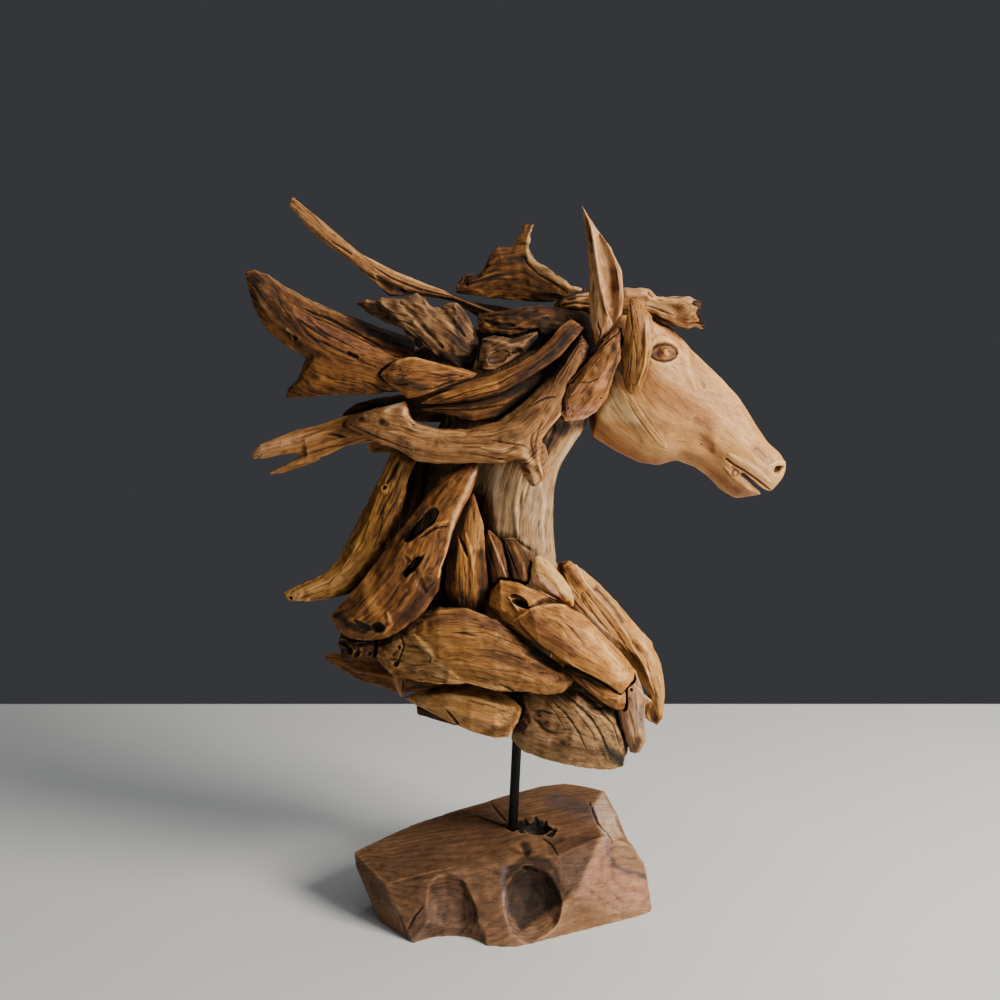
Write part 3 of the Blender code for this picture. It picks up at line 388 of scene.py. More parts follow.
@dataclass(frozen=True)
class Teak:
    """Weathered teak root, scraped of its bark and lightly waxed.

    It shows dark brown late wood in long streaks between paler early wood, open pores in short
    dashes, and a dull sheen where it has been rubbed. The colours run from the bottom of a crack
    to a rubbed ridge, and each has a reddish and a greyed version.

    Attributes:
        name: the material's name.
        tones: sRGB colours at each of the TONES.
        red: the same for reddish wood.
        grey: the same for greyed wood.
        streak: how much the streaks change the tone.
        fibre: how much single fibres change it.
        mottle: how much cloudy stains change it.
        vein: how much the lines of late wood darken it.
        dry: how much the drying cracks darken it.
        ring: how much the yearly rings darken it.
        ring_mm: the distance between the rings, mm.
        rough: roughness of rubbed and of raw wood.
    """

    name: str
    tones: tuple[str, str, str, str, str, str]
    red: tuple[str, str, str, str, str, str]
    grey: tuple[str, str, str, str, str, str]
    streak: float = 0.34
    fibre: float = 0.36
    mottle: float = 0.34
    vein: float = 0.13
    dry: float = 0.22
    ring: float = 0.05
    ring_mm: float = 4.2
    rough: tuple[float, float] = (0.48, 0.78)

    def ramp(self, nodes: Nodes, tone: Socket, hexes: tuple[str, ...]) -> Socket:
        """The colours of one version of the wood over its tone.

        Args:
            nodes: the material's nodes.
            tone: how pale the wood is.
            hexes: the six colours.

        Returns:
            The colour.
        """
        colour = nodes.add("ValToRGB", {"Fac": tone}, "Color")
        stops = colour.node.color_ramp.elements
        for place in TONES[1:-1]:
            stops.new(place)
        for stop, place, shade in zip(stops, TONES, hexes, strict=True):
            stop.position = place
            stop.color = linear(shade)
        return colour

    def material(self) -> bpy.types.Material:
        """Builds the node material.

        Returns:
            The material, which reads the attributes grain, tone, blush, silver and knot.
        """
        made = bpy.data.materials.new(self.name)
        nodes = Nodes(made)
        maths, climb = nodes.maths, nodes.climb
        grain = nodes.attribute("grain", "Vector")
        # The fibres wander by about 3 mm over 40 mm, so no streak is ruled straight.
        sway = nodes.cloud(grain, (0.018, 0.03, 0.03), 1.5, "Color")
        sway = nodes.vector("SUBTRACT", sway, (0.5, 0.5, 0.5))
        sway = nodes.vector("MULTIPLY", sway, (0.0, 9.0, 9.0))
        bent = nodes.vector("ADD", grain, sway)

        def figure(size: tuple[float, float, float], detail: float, rough: float, shift: float) -> Socket:
            """Noise stretched along the grain. The size is in bumps a millimetre: along, across, through."""
            return nodes.cloud(bent, size, detail, Roughness=rough, Location=(shift, shift * 0.7, 0.0))

        streak = figure((0.018, 0.26, 0.26), 3.0, 0.6, 3.0)   # bands about 4 mm wide and 55 mm long
        fibre = figure((0.05, 0.60, 0.60), 3.0, 0.7, 11.0)    # fibres drawn 1.6 mm wide: real ones are 0.2 mm
        vein = figure((0.022, 0.36, 0.36), 2.0, 0.55, 53.0)   # late wood: lines 1 mm wide and 45 mm long
        mottle = figure((0.045, 0.10, 0.10), 3.0, 0.6, 67.0)  # cloudy stains, about 10 mm by 22 mm
        pore = figure((0.10, 1.3, 1.3), 1.0, 0.5, 23.0)       # pores drawn 0.8 mm wide: real ones are 0.3 mm
        split = figure((0.009, 0.13, 0.13), 2.0, 0.5, 31.0)   # drying cracks, along this noise's middle value
        spread = figure((0.016, 0.04, 0.04), 1.0, 0.5, 47.0)  # where there are such cracks

        # The yearly rings lie round a pith that is off to one side of the piece.
        across = nodes.vector("MULTIPLY", bent, (0.0, 1.0, 1.0))
        across = nodes.vector("ADD", across, (0.0, 31.0, 24.0))
        reach = nodes.add("VectorMath", {0: across}, "Value", operation="LENGTH")
        reach = maths("MULTIPLY_ADD", streak, 5.0, reach)
        ring = maths("SINE", maths("MULTIPLY", reach, math.tau / self.ring_mm))
        ring = maths("POWER", maths("MULTIPLY_ADD", ring, 0.5, 0.5), 2.5)

        pores = climb(pore, 0.60, 0.72)
        veins = climb(vein, 0.44, 0.34)
        thin = climb(maths("ABSOLUTE", maths("SUBTRACT", split, 0.5)), 0.026, 0.005)
        thin = maths("MULTIPLY", thin, climb(spread, 0.54, 0.66))
        # Worm holes of about 1.2 mm, some 25 mm apart.
        spot = climb(nodes.add("TexVoronoi", {"Vector": grain, "Scale": 0.04}, "Distance"), 0.032, 0.02)

        near_knot = nodes.add("SeparateXYZ", {0: nodes.attribute("knot", "Vector")}, "X")
        inside = maths("MULTIPLY", near_knot, near_knot.node.outputs["Y"])
        whorl = maths("SINE", maths("MULTIPLY_ADD", near_knot, 16.0, maths("MULTIPLY", streak, 5.0)))

        tone = nodes.attribute("tone")
        for drawn, share in ((streak, self.streak), (fibre, self.fibre), (mottle, self.mottle)):
            tone = maths("MULTIPLY_ADD", maths("SUBTRACT", drawn, 0.5), share, tone)
        whorls = maths("MULTIPLY", inside, whorl)
        for drawn, share in ((ring, -self.ring), (pores, -0.12), (veins, -self.vein), (thin, -self.dry),
                             (spot, -0.45), (whorls, 0.09)):
            tone = maths("MULTIPLY_ADD", drawn, share, tone)

        plain, red, grey = (self.ramp(nodes, tone, hexes) for hexes in (self.tones, self.red, self.grey))
        blushed = nodes.mix(nodes.attribute("blush"), plain, red)
        colour = nodes.mix(nodes.attribute("silver"), blushed, grey)
        rubbed, raw = self.rough
        levels = {"Value": tone, "From Min": 0.25, "From Max": 0.8, "To Min": raw, "To Max": rubbed}
        rough = nodes.add("MapRange", levels)

        high = maths("MULTIPLY_ADD", fibre, 0.45, maths("MULTIPLY", streak, 0.9))
        for drawn, share in ((pores, -0.35), (veins, -3.0 * self.vein), (thin, -4.0 * self.dry), (spot, -1.2),
                             (ring, -0.12)):
            high = maths("MULTIPLY_ADD", drawn, share, high)
        # Relief of up to 0.8 mm: furrows that the mesh is too coarse to hold.
        bump = nodes.add("Bump", {"Height": high, "Strength": 0.75, "Distance": 0.0008})
        nodes.surface(Base_Color=colour, Roughness=rough, Normal=bump, IOR=1.48, Specular_IOR_Level=0.3)
        return made


@dataclass(frozen=True)
class BlackSteel:
    """Mild steel rod, brush-painted satin black: a broad soft highlight and faint brush lines."""

    name: str = "satin_black_painted_steel"
    colour: str = "#050507"
    worn: str = "#0E0D0E"

    def material(self) -> bpy.types.Material:
        """Builds the node material.

        Returns:
            The material, which reads Object coordinates.
        """
        made = bpy.data.materials.new(self.name)
        nodes = Nodes(made)
        place = nodes.add("TexCoord", {}, "Object")
        # Brush lines drawn 1 mm apart round the rod and 60 mm long.
        lines = nodes.cloud(place, (900.0, 900.0, 16.0), 2.0)
        blots = nodes.cloud(place, 140.0, 3.0)
        worn = nodes.add("MapRange", {"Value": blots, "From Min": 0.55, "From Max": 0.75})
        colour = nodes.mix(worn, linear(self.colour), linear(self.worn))
        rough = nodes.add("MapRange", {"Value": lines, "To Min": 0.45, "To Max": 0.6})
        bump = nodes.add("Bump", {"Height": lines, "Strength": 0.2, "Distance": 0.0002})
        nodes.surface(Base_Color=colour, Roughness=rough, Normal=bump, IOR=1.5, Specular_IOR_Level=0.2)
        return made


GREY = ("#130E0B", "#3A2F27", "#66564A", "#8F7D6D", "#B8A796", "#DACDBD")
OLIVE = ("#120C06", "#3A2C1A", "#66502F", "#8F7148", "#B5966B", "#D6C09A")
ROSE = ("#170C07", "#472819", "#7A4831", "#A86E50", "#CE987A", "#E8C4AC")

CARVED = Teak(
    "smooth_waxed_teak", ("#1C0F07", "#563317", "#946031", "#C0894E", "#DFB47A", "#F3D8AC"), ROSE, GREY,
    streak=0.20, fibre=0.22, mottle=0.22, vein=0.04, dry=0.0, ring=0.02, rough=(0.42, 0.62))
PALE = Teak(
    "pale_scraped_teak_root", ("#1C0E06", "#543318", "#8B5E31", "#B88451", "#D9AE7C", "#F0D5AC"), ROSE, GREY)
ORANGE = Teak(
    "orange_teak_root", ("#190D05", "#532F10", "#8A5822", "#B9803E", "#DCA867", "#F0CE9C"), ROSE, OLIVE)
BROWN = Teak(
    "brown_teak_root", ("#150A02", "#412408", "#724714", "#9C6B26", "#C28F48", "#DFB473"), ROSE, OLIVE)
GREYED = Teak(
    "olive_teak_root", ("#150B06", "#442C17", "#775331", "#A2784C", "#C89F6F", "#E2C29A"), ROSE, OLIVE,
    fibre=0.42)
TRUNK = Teak(
    "greyed_teak_root", ("#150D08", "#452E1A", "#795837", "#A57F53", "#CBA879", "#E5CBA4"), ROSE, GREY,
    fibre=0.42)
HEWN = Teak(
    "hewn_oiled_teak_foot", ("#120A06", "#38240F", "#654424", "#8F653D", "#B78F63", "#D6B795"), ROSE,
    ("#130D0C", "#3A2A27", "#62504C", "#88736E", "#AB9891", "#CDBEB6"), streak=0.15, fibre=0.18, mottle=0.26,
    vein=0.05, dry=0.05, ring=0.08, ring_mm=5.0, rough=(0.5, 0.74))


# ---------------------------------------------------------------- one piece of wood


@dataclass(frozen=True)
class Weather:
    """How far water and wind have cut a piece, in millimetres.

    Attributes:
        wander: slow swells, about 45 mm long.
        lumps: dents of about 18 mm.
        furrow: furrows along the grain, about 7 mm apart.
        comb: fine furrows, about 3 mm apart.
        split: depth of the drying cracks.
        splits: how much of the surface has them, 0 to 1.
        fray: how ragged the two ends are.
        chip: nibbles of about 12 mm at the edges.
    """

    wander: float = 1.8
    lumps: float = 0.9
    furrow: float = 0.35
    comb: float = 0.22
    split: float = 1.3
    splits: float = 0.12
    fray: float = 2.5
    chip: float = 0.5


# The lengths of the noises that wear a surface. Those with three run along, across and through the grain.
SWELL_MM, LUMP_MM, CHIP_MM = 44.0, 17.0, 11.0
FURROW_MM = np.array((62.0, 7.0, 7.0))
COMB_MM = np.array((26.0, 3.2, 3.2))
SPLIT_MM = np.array((95.0, 12.0, 12.0))
SPLIT_ZONE_MM = np.array((60.0, 26.0, 26.0))
FRAY_MM = np.array((np.inf, 3.4, 3.4))
CLOUD_MM = np.array((90.0, 34.0, 34.0))
BLUSH_MM, SILVER_MM = 52.0, 40.0
SPLIT_WIDTH = 0.12     # how far from its middle line a drying crack reaches, as a share of its noise
FRAYED_MM = 11.0       # how far from its end a piece is frayed
# Deep among its neighbours the wood is drawn darker: partly grime and old bark, partly painted shade.
DIRT_AND_SHADE = 0.34            # how much darker the wood is deep among its neighbours
WELD_M = 1e-6          # vertices closer than this are one, m
POLISH_ROUNDS = 12     # how often a fresh surface is smoothed and swelled back
EASE_MESH_MM = 1.5     # the mesh that the rounds of easing are counted for
SLICE_MM = 26.0        # the length of a slice, when a piece's middle line is drawn through its slices
FAR_FROM_KNOT = 3.0    # the distance from a knot, in radii, at which the wood no longer shows it
FACING = (0.02, 0.3)   # how squarely a surface faces the eye where marks begin, and where they are full

SMOOTH = Weather(wander=0.7, lumps=0.3, furrow=0.10, comb=0.05, split=0.0, splits=0.0, fray=0.0, chip=0.1)
RUBBED = Weather(wander=1.6, lumps=0.7, furrow=0.25, comb=0.15, split=1.1, splits=0.08, fray=1.0, chip=0.4)
ROUGH = Weather(wander=1.8, lumps=1.3, furrow=0.5, comb=0.40, split=1.8, splits=0.25, fray=4.0, chip=1.0)


class Skin:
    """The surface of one piece as arrays, in millimetres."""

    def __init__(self, piece: bpy.types.Object) -> None:
        """Reads the piece's mesh.

        Args:
            piece: a mesh object at the origin.
        """
        self.piece = piece
        mesh = piece.data
        count = len(mesh.vertices)
        flat = np.zeros(count * 3, np.float32)
        mesh.vertices.foreach_get("co", flat)
        self.points = flat.reshape(-1, 3).astype(np.float64) * MM
        pairs = np.zeros(len(mesh.edges) * 2, np.int32)
        mesh.edges.foreach_get("vertices", pairs)
        pairs = pairs.reshape(-1, 2)
        self.here = np.concatenate([pairs[:, 0], pairs[:, 1]])
        self.there = np.concatenate([pairs[:, 1], pairs[:, 0]])
        self.degree = np.maximum(np.bincount(self.here, minlength=count), 1)

    def average(self, values: np.ndarray) -> np.ndarray:
        """The mean of each vertex's neighbours.

        Args:
            values: one row, or one number, for each vertex.

        Returns:
            The means, in the same form.
        """
        if values.ndim == 1:
            return np.bincount(self.here, values[self.there], len(values)) / self.degree
        return np.column_stack([self.average(values[:, i]) for i in range(values.shape[1])])

    def blurred(self, values: np.ndarray, times: int) -> np.ndarray:
        """Evens values out along the surface.

        Args:
            values: one row, or one number, for each vertex.
            times: rounds of averaging.

        Returns:
            The evened values, in the same form.
        """
        for _ in range(times):
            values = 0.5 * (values + self.average(values))
        return values

    def polish(self, rounds: int) -> None:
        """Rounds the edges off without thinning the piece.

        Args:
            rounds: how often it smooths and then swells back.
        """
        for _ in range(rounds):
            for push in (0.5, -0.52):
                self.points += push * (self.average(self.points) - self.points)

    def write(self) -> None:
        """Puts the points back into the mesh."""
        self.piece.data.vertices.foreach_set("co", (self.points / MM).astype(np.float32).ravel())
        self.piece.data.update()

    def normals(self) -> np.ndarray:
        """Writes the points into the mesh and reads how it faces.

        Returns:
            Outward directions, one for each vertex.
        """
        self.write()
        flat = np.zeros(len(self.points) * 3, np.float32)
        self.piece.data.vertex_normals.foreach_get("vector", flat)
        return flat.reshape(-1, 3).astype(np.float64)

    def store(self, name: str, values: np.ndarray) -> None:
        """Keeps one number or one vector for each vertex as an attribute that the material reads.

        Args:
            name: the attribute's name.
            values: the numbers or vectors.
        """
        kind, key = ("FLOAT", "value") if values.ndim == 1 else ("FLOAT_VECTOR", "vector")
        kept = self.piece.data.attributes.new(name, kind, "POINT")
        kept.data.foreach_set(key, values.astype(np.float32).ravel())


def lay_grain(points: np.ndarray) -> np.ndarray:
    """Distances along and across the fibres of a piece, whose middle line may bend.

    Args:
        points: the surface, in mm.

    Returns:
        For each point, how far along the middle line it is and how far to two sides of it, in mm.
    """
    centre = points.mean(0)
    _, axes = np.linalg.eigh(np.cov((points - centre).T))
    along, side, through = axes[:, 2], axes[:, 1], axes[:, 0]
    along = along * np.sign(along[np.argmax(np.abs(along))])
    t = (points - centre) @ along
    slices = max(3, int(np.ptp(t) / SLICE_MM))
    which = np.clip(((t - t.min()) / np.ptp(t) * slices).astype(int), 0, slices - 1)
    size = np.maximum(np.bincount(which, minlength=slices), 1)
    middle = np.column_stack([np.bincount(which, points[:, i], slices) / size for i in range(3)])
    middle[1:-1] = 0.25 * middle[:-2] + 0.5 * middle[1:-1] + 0.25 * middle[2:]
    place = (middle - centre) @ along
    run = np.concatenate([[0.0], np.cumsum(np.linalg.norm(np.diff(middle, axis=0), axis=1))])
    line = np.column_stack([np.interp(t, place, middle[:, i]) for i in range(3)])
    off = points - line
    return np.column_stack([np.interp(t, place, run) + off @ along, off @ side, off @ through])


@dataclass
class Limb:
    """One piece of teak root.

    Attributes:
        node: the solid in the frame that it stands for.
        teak: its finish.
        slot: the name of its material slot; not used.
        weather: how worn it is.
        marks: what is cut, raised, stained or given painted light and shade on its near side.
        mesh_mm: the distance between the vertices of its surface.
        ease: rounds of smoothing, which take off the edges of its facets.
        tone: how pale it is, 0 to 1.
        blush: how reddish it is.
        silver: how greyed it is.
        skin: its surface, once it is roughed out.
        shade: tone, blush and silver of each vertex, once it is carved.
    """

    node: str
    teak: Teak
    slot: str
    weather: Weather = Weather()
    marks: Marks = ()
    mesh_mm: float = 1.2
    ease: int = 8
    tone: float = 0.52
    blush: float = 0.0
    silver: float = 0.0
    skin: Skin | None = field(default=None, repr=False)
    shade: np.ndarray | None = field(default=None, repr=False)

    @property
    def seed(self) -> int:
        """A number of the piece's own, from its name."""
        return sum((i + 3) * ord(c) for i, c in enumerate(self.node)) % 9973

    def rough_out(self, solid: bpy.types.Object) -> None:
        """Copies the solid and gives it an even, rounded surface.

        Args:
            solid: the CAD node.
        """
        mesh = solid.data.copy()
        shape = bmesh.new()
        shape.from_mesh(mesh)
        bmesh.ops.remove_doubles(shape, verts=shape.verts[:], dist=WELD_M)
        shape.to_mesh(mesh)
        shape.free()
        mesh.materials.clear()
        piece = bpy.data.objects.new(f"{self.node}_wood", mesh)
        bpy.context.scene.collection.objects.link(piece)
        bpy.ops.object.select_all(action="DESELECT")
        piece.select_set(True)
        bpy.context.view_layer.objects.active = piece
        even = piece.modifiers.new("even", "REMESH")
        even.mode = "VOXEL"
        even.voxel_size = self.mesh_mm / MM
        bpy.ops.object.modifier_apply(modifier="even")
        if self.ease:
            soft = piece.modifiers.new("soft", "SMOOTH")
            soft.factor = 0.5
            soft.iterations = round(self.ease * (EASE_MESH_MM / self.mesh_mm) ** 2)
            bpy.ops.object.modifier_apply(modifier="soft")
        self.skin = Skin(piece)
        self.skin.polish(POLISH_ROUNDS)

    def bend_grain(self, grain: np.ndarray, reaches: list[np.ndarray], facing: np.ndarray) -> np.ndarray:
        """Makes the grain flow round the knots.

        Args:
            grain: distances along and across the fibres, which it changes.
            reaches: how strongly each point is inside each mark.
            facing: how squarely each point faces the eye.

        Returns:
            For each point, how far it is from the nearest knot, in radii, and whether it lies in its rings.
        """
        rings = np.zeros((len(grain), 3))
        rings[:, 0] = FAR_FROM_KNOT
        for mark, reach in zip(self.marks, reaches, strict=True):
            if mark.knot and reach.max() > 0:
                heart = grain[np.argmax(reach)]
                away = np.linalg.norm(grain - heart, axis=1)
                squeeze = 1 - 0.9 * mark.width**2 / (away**2 + 0.6 * mark.width**2)
                grain[:, 1:] = heart[1:] + (grain[:, 1:] - heart[1:]) * squeeze[:, None]
                near = away / mark.width < rings[:, 0]
                rings[near, 0] = (away / mark.width)[near]
                rings[near, 1] = ease_step(1.3, 0.7, rings[near, 0]) * (facing[near] > 0.1)
        return rings

    def wear_down(self, points: np.ndarray, grain: np.ndarray) -> tuple[np.ndarray, np.ndarray, np.ndarray]:
        """What weather has done to the surface.

        Args:
            points: the surface, in mm.
            grain: distances along and across the fibres.

        Returns:
            How far each point rises, in mm, its place in the furrows, and how deep it is in a drying crack.
        """
        wear, seed = self.weather, self.seed
        lift = -wear.wander * (0.5 + 0.5 * noise(points / SWELL_MM, seed))
        lift -= wear.lumps * (0.5 + 0.5 * noise(points / LUMP_MM, seed + 10))
        lift -= wear.chip * np.clip(noise(points / CHIP_MM, seed + 1) + 0.1, 0, 1) * 2
        furrows = noise(grain / FURROW_MM, seed + 2)
        lift += wear.furrow * (furrows - 0.35 * np.abs(furrows) - 0.4)
        lift += wear.comb * (noise(grain / COMB_MM, seed + 3) - 0.4)
        line = noise(grain / SPLIT_MM, seed + 4)
        often = 0.8 * wear.splits
        where = ease_step(0.28 - often, 0.55 - often, noise(grain / SPLIT_ZONE_MM, seed + 5))
        splits = np.clip(1 - np.abs(line) / SPLIT_WIDTH, 0, 1) * where
        return lift - wear.split * splits, furrows, splits

    def carve(self) -> None:
        """Weathers the surface along the grain and cuts the piece's own marks."""
        skin, wear, seed = self.skin, self.weather, self.seed
        normals = skin.normals()
        points = skin.points
        grain = lay_grain(points)
        facing, board = seen_from(EYE, points, normals)
        away, back = seen_from(EYE * MIRROR, points, normals)
        reaches = [m.reach(back, seed + i) * away if m.far else m.reach(board, seed + i) * facing
                   for i, m in enumerate(self.marks)]
        rings = self.bend_grain(grain, reaches, facing)
        lift, furrows, splits = self.wear_down(points, grain)
        for mark, reach in zip(self.marks, reaches, strict=True):
            lift += mark.lift * reach
        skin.points = points + normals * lift[:, None]
        ends = grain[:, 0]
        if wear.fray:
            tail = np.minimum(ends - ends.min(), ends.max() - ends)
            fibres = noise(grain / FRAY_MM + (seed, 0, 0), seed + 6)
            pull = wear.fray * np.clip(fibres + 0.15, 0, 1) * ease_step(FRAYED_MM, 0.0, tail)
            skin.points += centre_pull(points) * pull[:, None]
        skin.polish(1)
        settled = skin.normals()
        # Hollows are darker and ridges are paler, both at the scale of the furrows and at that of the lumps:
        # painted shade in the hollows and a painted highlight on the ridges, as well as the wood's own wear
        # there.
        fine, broad = (((skin.points - skin.blurred(skin.points, times)) * settled).sum(1)
                       for times in (8, 40))
        tone = self.tone + 0.10 * noise(grain / CLOUD_MM, seed + 7)
        tone += np.clip(0.16 * fine, -0.3, 0.2) + np.clip(0.07 * broad, -0.25, 0.16) + 0.03 * furrows
        tone -= 0.20 * splits * min(wear.split, 1.5)
        blush = self.blush + 0.28 * ease_step(0.1, 0.7, noise(points / BLUSH_MM, seed + 8))
        silver = self.silver + 0.18 * ease_step(0.15, 0.7, noise(points / SILVER_MM, seed + 9))
        for mark, reach in zip(self.marks, reaches, strict=True):
            tone += mark.tone * reach
            blush += mark.blush * reach
            silver += mark.silver * reach
        skin.store("grain", grain + (seed % 97 * 3.0, 0.0, 0.0))
        skin.store("knot", rings)
        self.shade = np.column_stack([tone, np.clip(blush, 0, 1), np.clip(silver, 0, 1)])

    def dress(self, dirt_and_shade: np.ndarray, looks: dict[str, bpy.types.Material]) -> None:
        """Finishes the colour, and puts the piece in its place in the frame.

        Args:
            dirt_and_shade: how deep each vertex lies among its neighbours, 0 to 1.
            looks: the materials made so far, by name.
        """
        skin = self.skin
        # Painted darker deep among the neighbours: partly grime and old bark, partly painted shade.
        skin.store("tone", np.clip(self.shade[:, 0] - DIRT_AND_SHADE * dirt_and_shade, 0.02, 1.0))
        skin.store("blush", self.shade[:, 1])
        skin.store("silver", self.shade[:, 2])
        if self.teak.name not in looks:
            looks[self.teak.name] = self.teak.material()
        piece = skin.piece
        piece.data.materials.append(looks[self.teak.name])
        piece.data.shade_smooth()
        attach(piece, "root")
        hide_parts(self.node)
        LOG.info("%s: %d vertices", piece.name, len(skin.points))


def seen_from(eye: np.ndarray, points: np.ndarray, normals: np.ndarray) -> tuple[np.ndarray, np.ndarray]:
    """How a surface lies when it is looked at from one point.

    Args:
        eye: the point, in mm.
        points: the surface, in mm.
        normals: its outward directions.

    Returns:
        How squarely each point faces the eye, 0 to 1, and where it falls on the board.
    """
    ray = eye - points
    ray /= np.linalg.norm(ray, axis=1)[:, None]
    scale = -eye[1] / (points[:, 1] - eye[1])
    board = eye[[0, 2]] + (points[:, [0, 2]] - eye[[0, 2]]) * scale[:, None]
    return ease_step(*FACING, (normals * ray).sum(1)), board


def centre_pull(points: np.ndarray) -> np.ndarray:
    """Finds the way along a piece's length to its middle.

    Args:
        points: the surface, in mm.

    Returns:
        The direction from each point.
    """
    centre = points.mean(0)
    _, axes = np.linalg.eigh(np.cov((points - centre).T))
    along = axes[:, 2]
    return -np.sign((points - centre) @ along)[:, None] * along


@dataclass
class Nest:
    """How closely the pieces lie, which says where grime and old bark have stayed and where painted shade
    goes.

    Attributes:
        cell: the size of one cell of the count, mm.
        reach: how far out from a surface it looks first, mm.
        further: how many times as far it looks the second time.
        margin: the empty space kept round the pieces, mm.
        open: the count that is still open air, and the count that is deep inside.
        low: the corner that the cells are counted from, mm.
        full: how much surface lies in and near each cell, 0 to 1.
    """

    cell: float = 4.0
    reach: float = 15.0
    further: float = 1.8
    margin: float = 60.0
    open: tuple[float, float] = (0.16, 0.62)
    low: np.ndarray | None = field(default=None, repr=False)
    full: np.ndarray | None = field(default=None, repr=False)

    def count(self, limbs: list[Limb]) -> None:
        """Counts the surface in each cell, and spreads it over the cells near by.

        Args:
            limbs: every piece, carved.
        """
        every = np.concatenate([limb.skin.points for limb in limbs])
        self.low = every.min(0) - self.margin
        size = np.ceil((every.max(0) + self.margin - self.low) / self.cell).astype(int)
        full = np.zeros(size, np.float32)
        index = ((every - self.low) / self.cell).astype(int)
        full[index[:, 0], index[:, 1], index[:, 2]] = 1
        for _ in range(2):
            for axis in range(3):
                full = sum(np.roll(full, shift, axis) for shift in (-2, -1, 0, 1, 2)) / 5
        self.full = full

    def dirt_and_shade(self, limb: Limb) -> np.ndarray:
        """How deep each vertex of a piece lies among its neighbours.

        Args:
            limb: a carved piece.

        Returns:
            One value for each vertex, 0 in the open and 1 deep inside.
        """
        normals = limb.skin.blurred(limb.skin.normals(), 3)
        total = np.zeros(len(normals))
        for step in (self.reach, self.reach * self.further):
            index = ((limb.skin.points + normals * step - self.low) / self.cell).astype(int)
            index = np.clip(index, 0, np.array(self.full.shape) - 1)
            total += self.full[index[:, 0], index[:, 1], index[:, 2]]
        return limb.skin.blurred(ease_step(*self.open, total), 2)


@dataclass
class Cluster:
    """A group of pieces of root, built and dressed alike.

    Attributes:
        limbs: its pieces.
    """

    limbs: list[Limb] = field(default_factory=list)

    def build(self, nodes: dict[str, bpy.types.Object]) -> None:
        """Roughs out and carves each piece.

        Args:
            nodes: the frame's solids.
        """
        for limb in self.limbs:
            limb.rough_out(nodes[limb.node])
            limb.carve()

    def dress(self, nest: Nest, looks: dict[str, bpy.types.Material]) -> None:
        """Colours each piece, by how closely the pieces lie and with the materials made so far."""
        for limb in self.limbs:
            limb.dress(nest.dirt_and_shade(limb), looks)


# ---------------------------------------------------------------- the pieces and their marks

# Each group's class stands after the marks of its pieces. A mark's place in its list seeds how its edge
# wanders, so a new mark goes at the end.

# The lids, from the inner corner of the eye round to the outer one.
EYE_TOP = ((155, 684), (160, 690), (167, 694), (175, 695), (183, 693.5), (188, 689.5), (190, 684))
EYE_FOOT = ((190, 684), (187.5, 678.5), (182, 675.5), (174, 674.5), (165, 676.5), (159, 680), (155, 684))

FACE: Marks = (
    # The eye: a lens between two lids, with the ball, its ring and its pupil.
    Mark(((166, 684), (179, 684)), 10.5, -1.8, 0),
    plane(*EYE_TOP, *EYE_FOOT, tone=-0.32, blush=0.3),
    Mark(((176, 684),), 10, 4, 0.16, -0.2),
    groove(*EYE_TOP, width=2.8, depth=2.4, tone=-0.22),
    groove(*EYE_FOOT, tone=-0.2),
    patch((158, 684), (163, 683), width=4.6, tone=-0.12, blush=0.3),
    patch((186, 683), (188, 684), width=3.4, tone=-0.12, blush=0.3),
    groove(*circle(177, 684.5, 5.6), width=1.2, depth=0.5, tone=-0.12),
    pit(179.5, 685.5, 1.4, 1.2, -0.24),
    rim(*bow((151, 687), (193, 686), 15), width=4.5, height=1.1, tone=0.05),
    rim(*bow((156, 678), (188, 678), -8), height=0.7, tone=0.04),
    # The brow, the nose and the hollow before the eye.
    Mark(((194, 706), (199, 688), (203, 664), (212, 642)), 8, 1.3, 0.05, taper=0.6),
    trough((206, 690), (210, 668), (222, 645), width=8, depth=1.2, tone=-0.04),
    rim((192, 711), (221, 677), (255, 640), (285, 609), (312, 583), width=10, height=0.8, tone=0.06),
    # Painted shade down the cheek and in the valley towards the mouth, with a redder tint.
    patch((164, 640), (190, 625), (218, 611), width=20, tone=-0.11, blush=0.15),
    patch((231, 600), (226, 578), (244, 560), width=14, tone=-0.12, blush=0.2),
    trough((214, 606), (219, 588), (232, 570), width=16, depth=1.6, tone=0, blush=0.1),
    # The nostril.
    Mark(((308, 546), (320, 550)), 3.4, -3.2, -0.36, 0.3, taper=0.3),
    Mark(((311, 546), (318, 548)), 1.6, 0.8, 0.14),
    rim((302, 551), (312, 556), (323, 555), width=3.4, height=1.2, tone=0.06),
    trough((286, 571), (296, 562), (305, 556), width=11, depth=1.2, tone=0),
    # Painted shadow behind the nostril.
    patch((287, 571), (298, 561), width=11, tone=-0.15, blush=0.15),
    patch((300, 578), (314, 570), width=7, tone=0.04),
    # The mouth.
    groove((251, 559), (260, 552), (272, 545), (284, 537), (296, 528), (306, 520), width=3, depth=2.4,
           tone=-0.34),
    # The hollow under the upper lip, with painted shade in it.
    trough((258, 549), (271, 539), (285, 527), (293, 519), depth=1.3, blush=0.2),
    rim((254, 565), (268, 557), (286, 547), (304, 532), width=5.5, height=1.2, tone=0.05),
    rim((250, 549), (264, 534), (282, 521), height=0.9, tone=0.04),
    Mark(((262, 542),), 3.6, 1.2, 0, 0.3),
    groove(*circle(262, 542, 3.6), width=1.1, depth=0.8, tone=-0.2),
    pit(221, 576, 1.1, 0.8, -0.35),
)
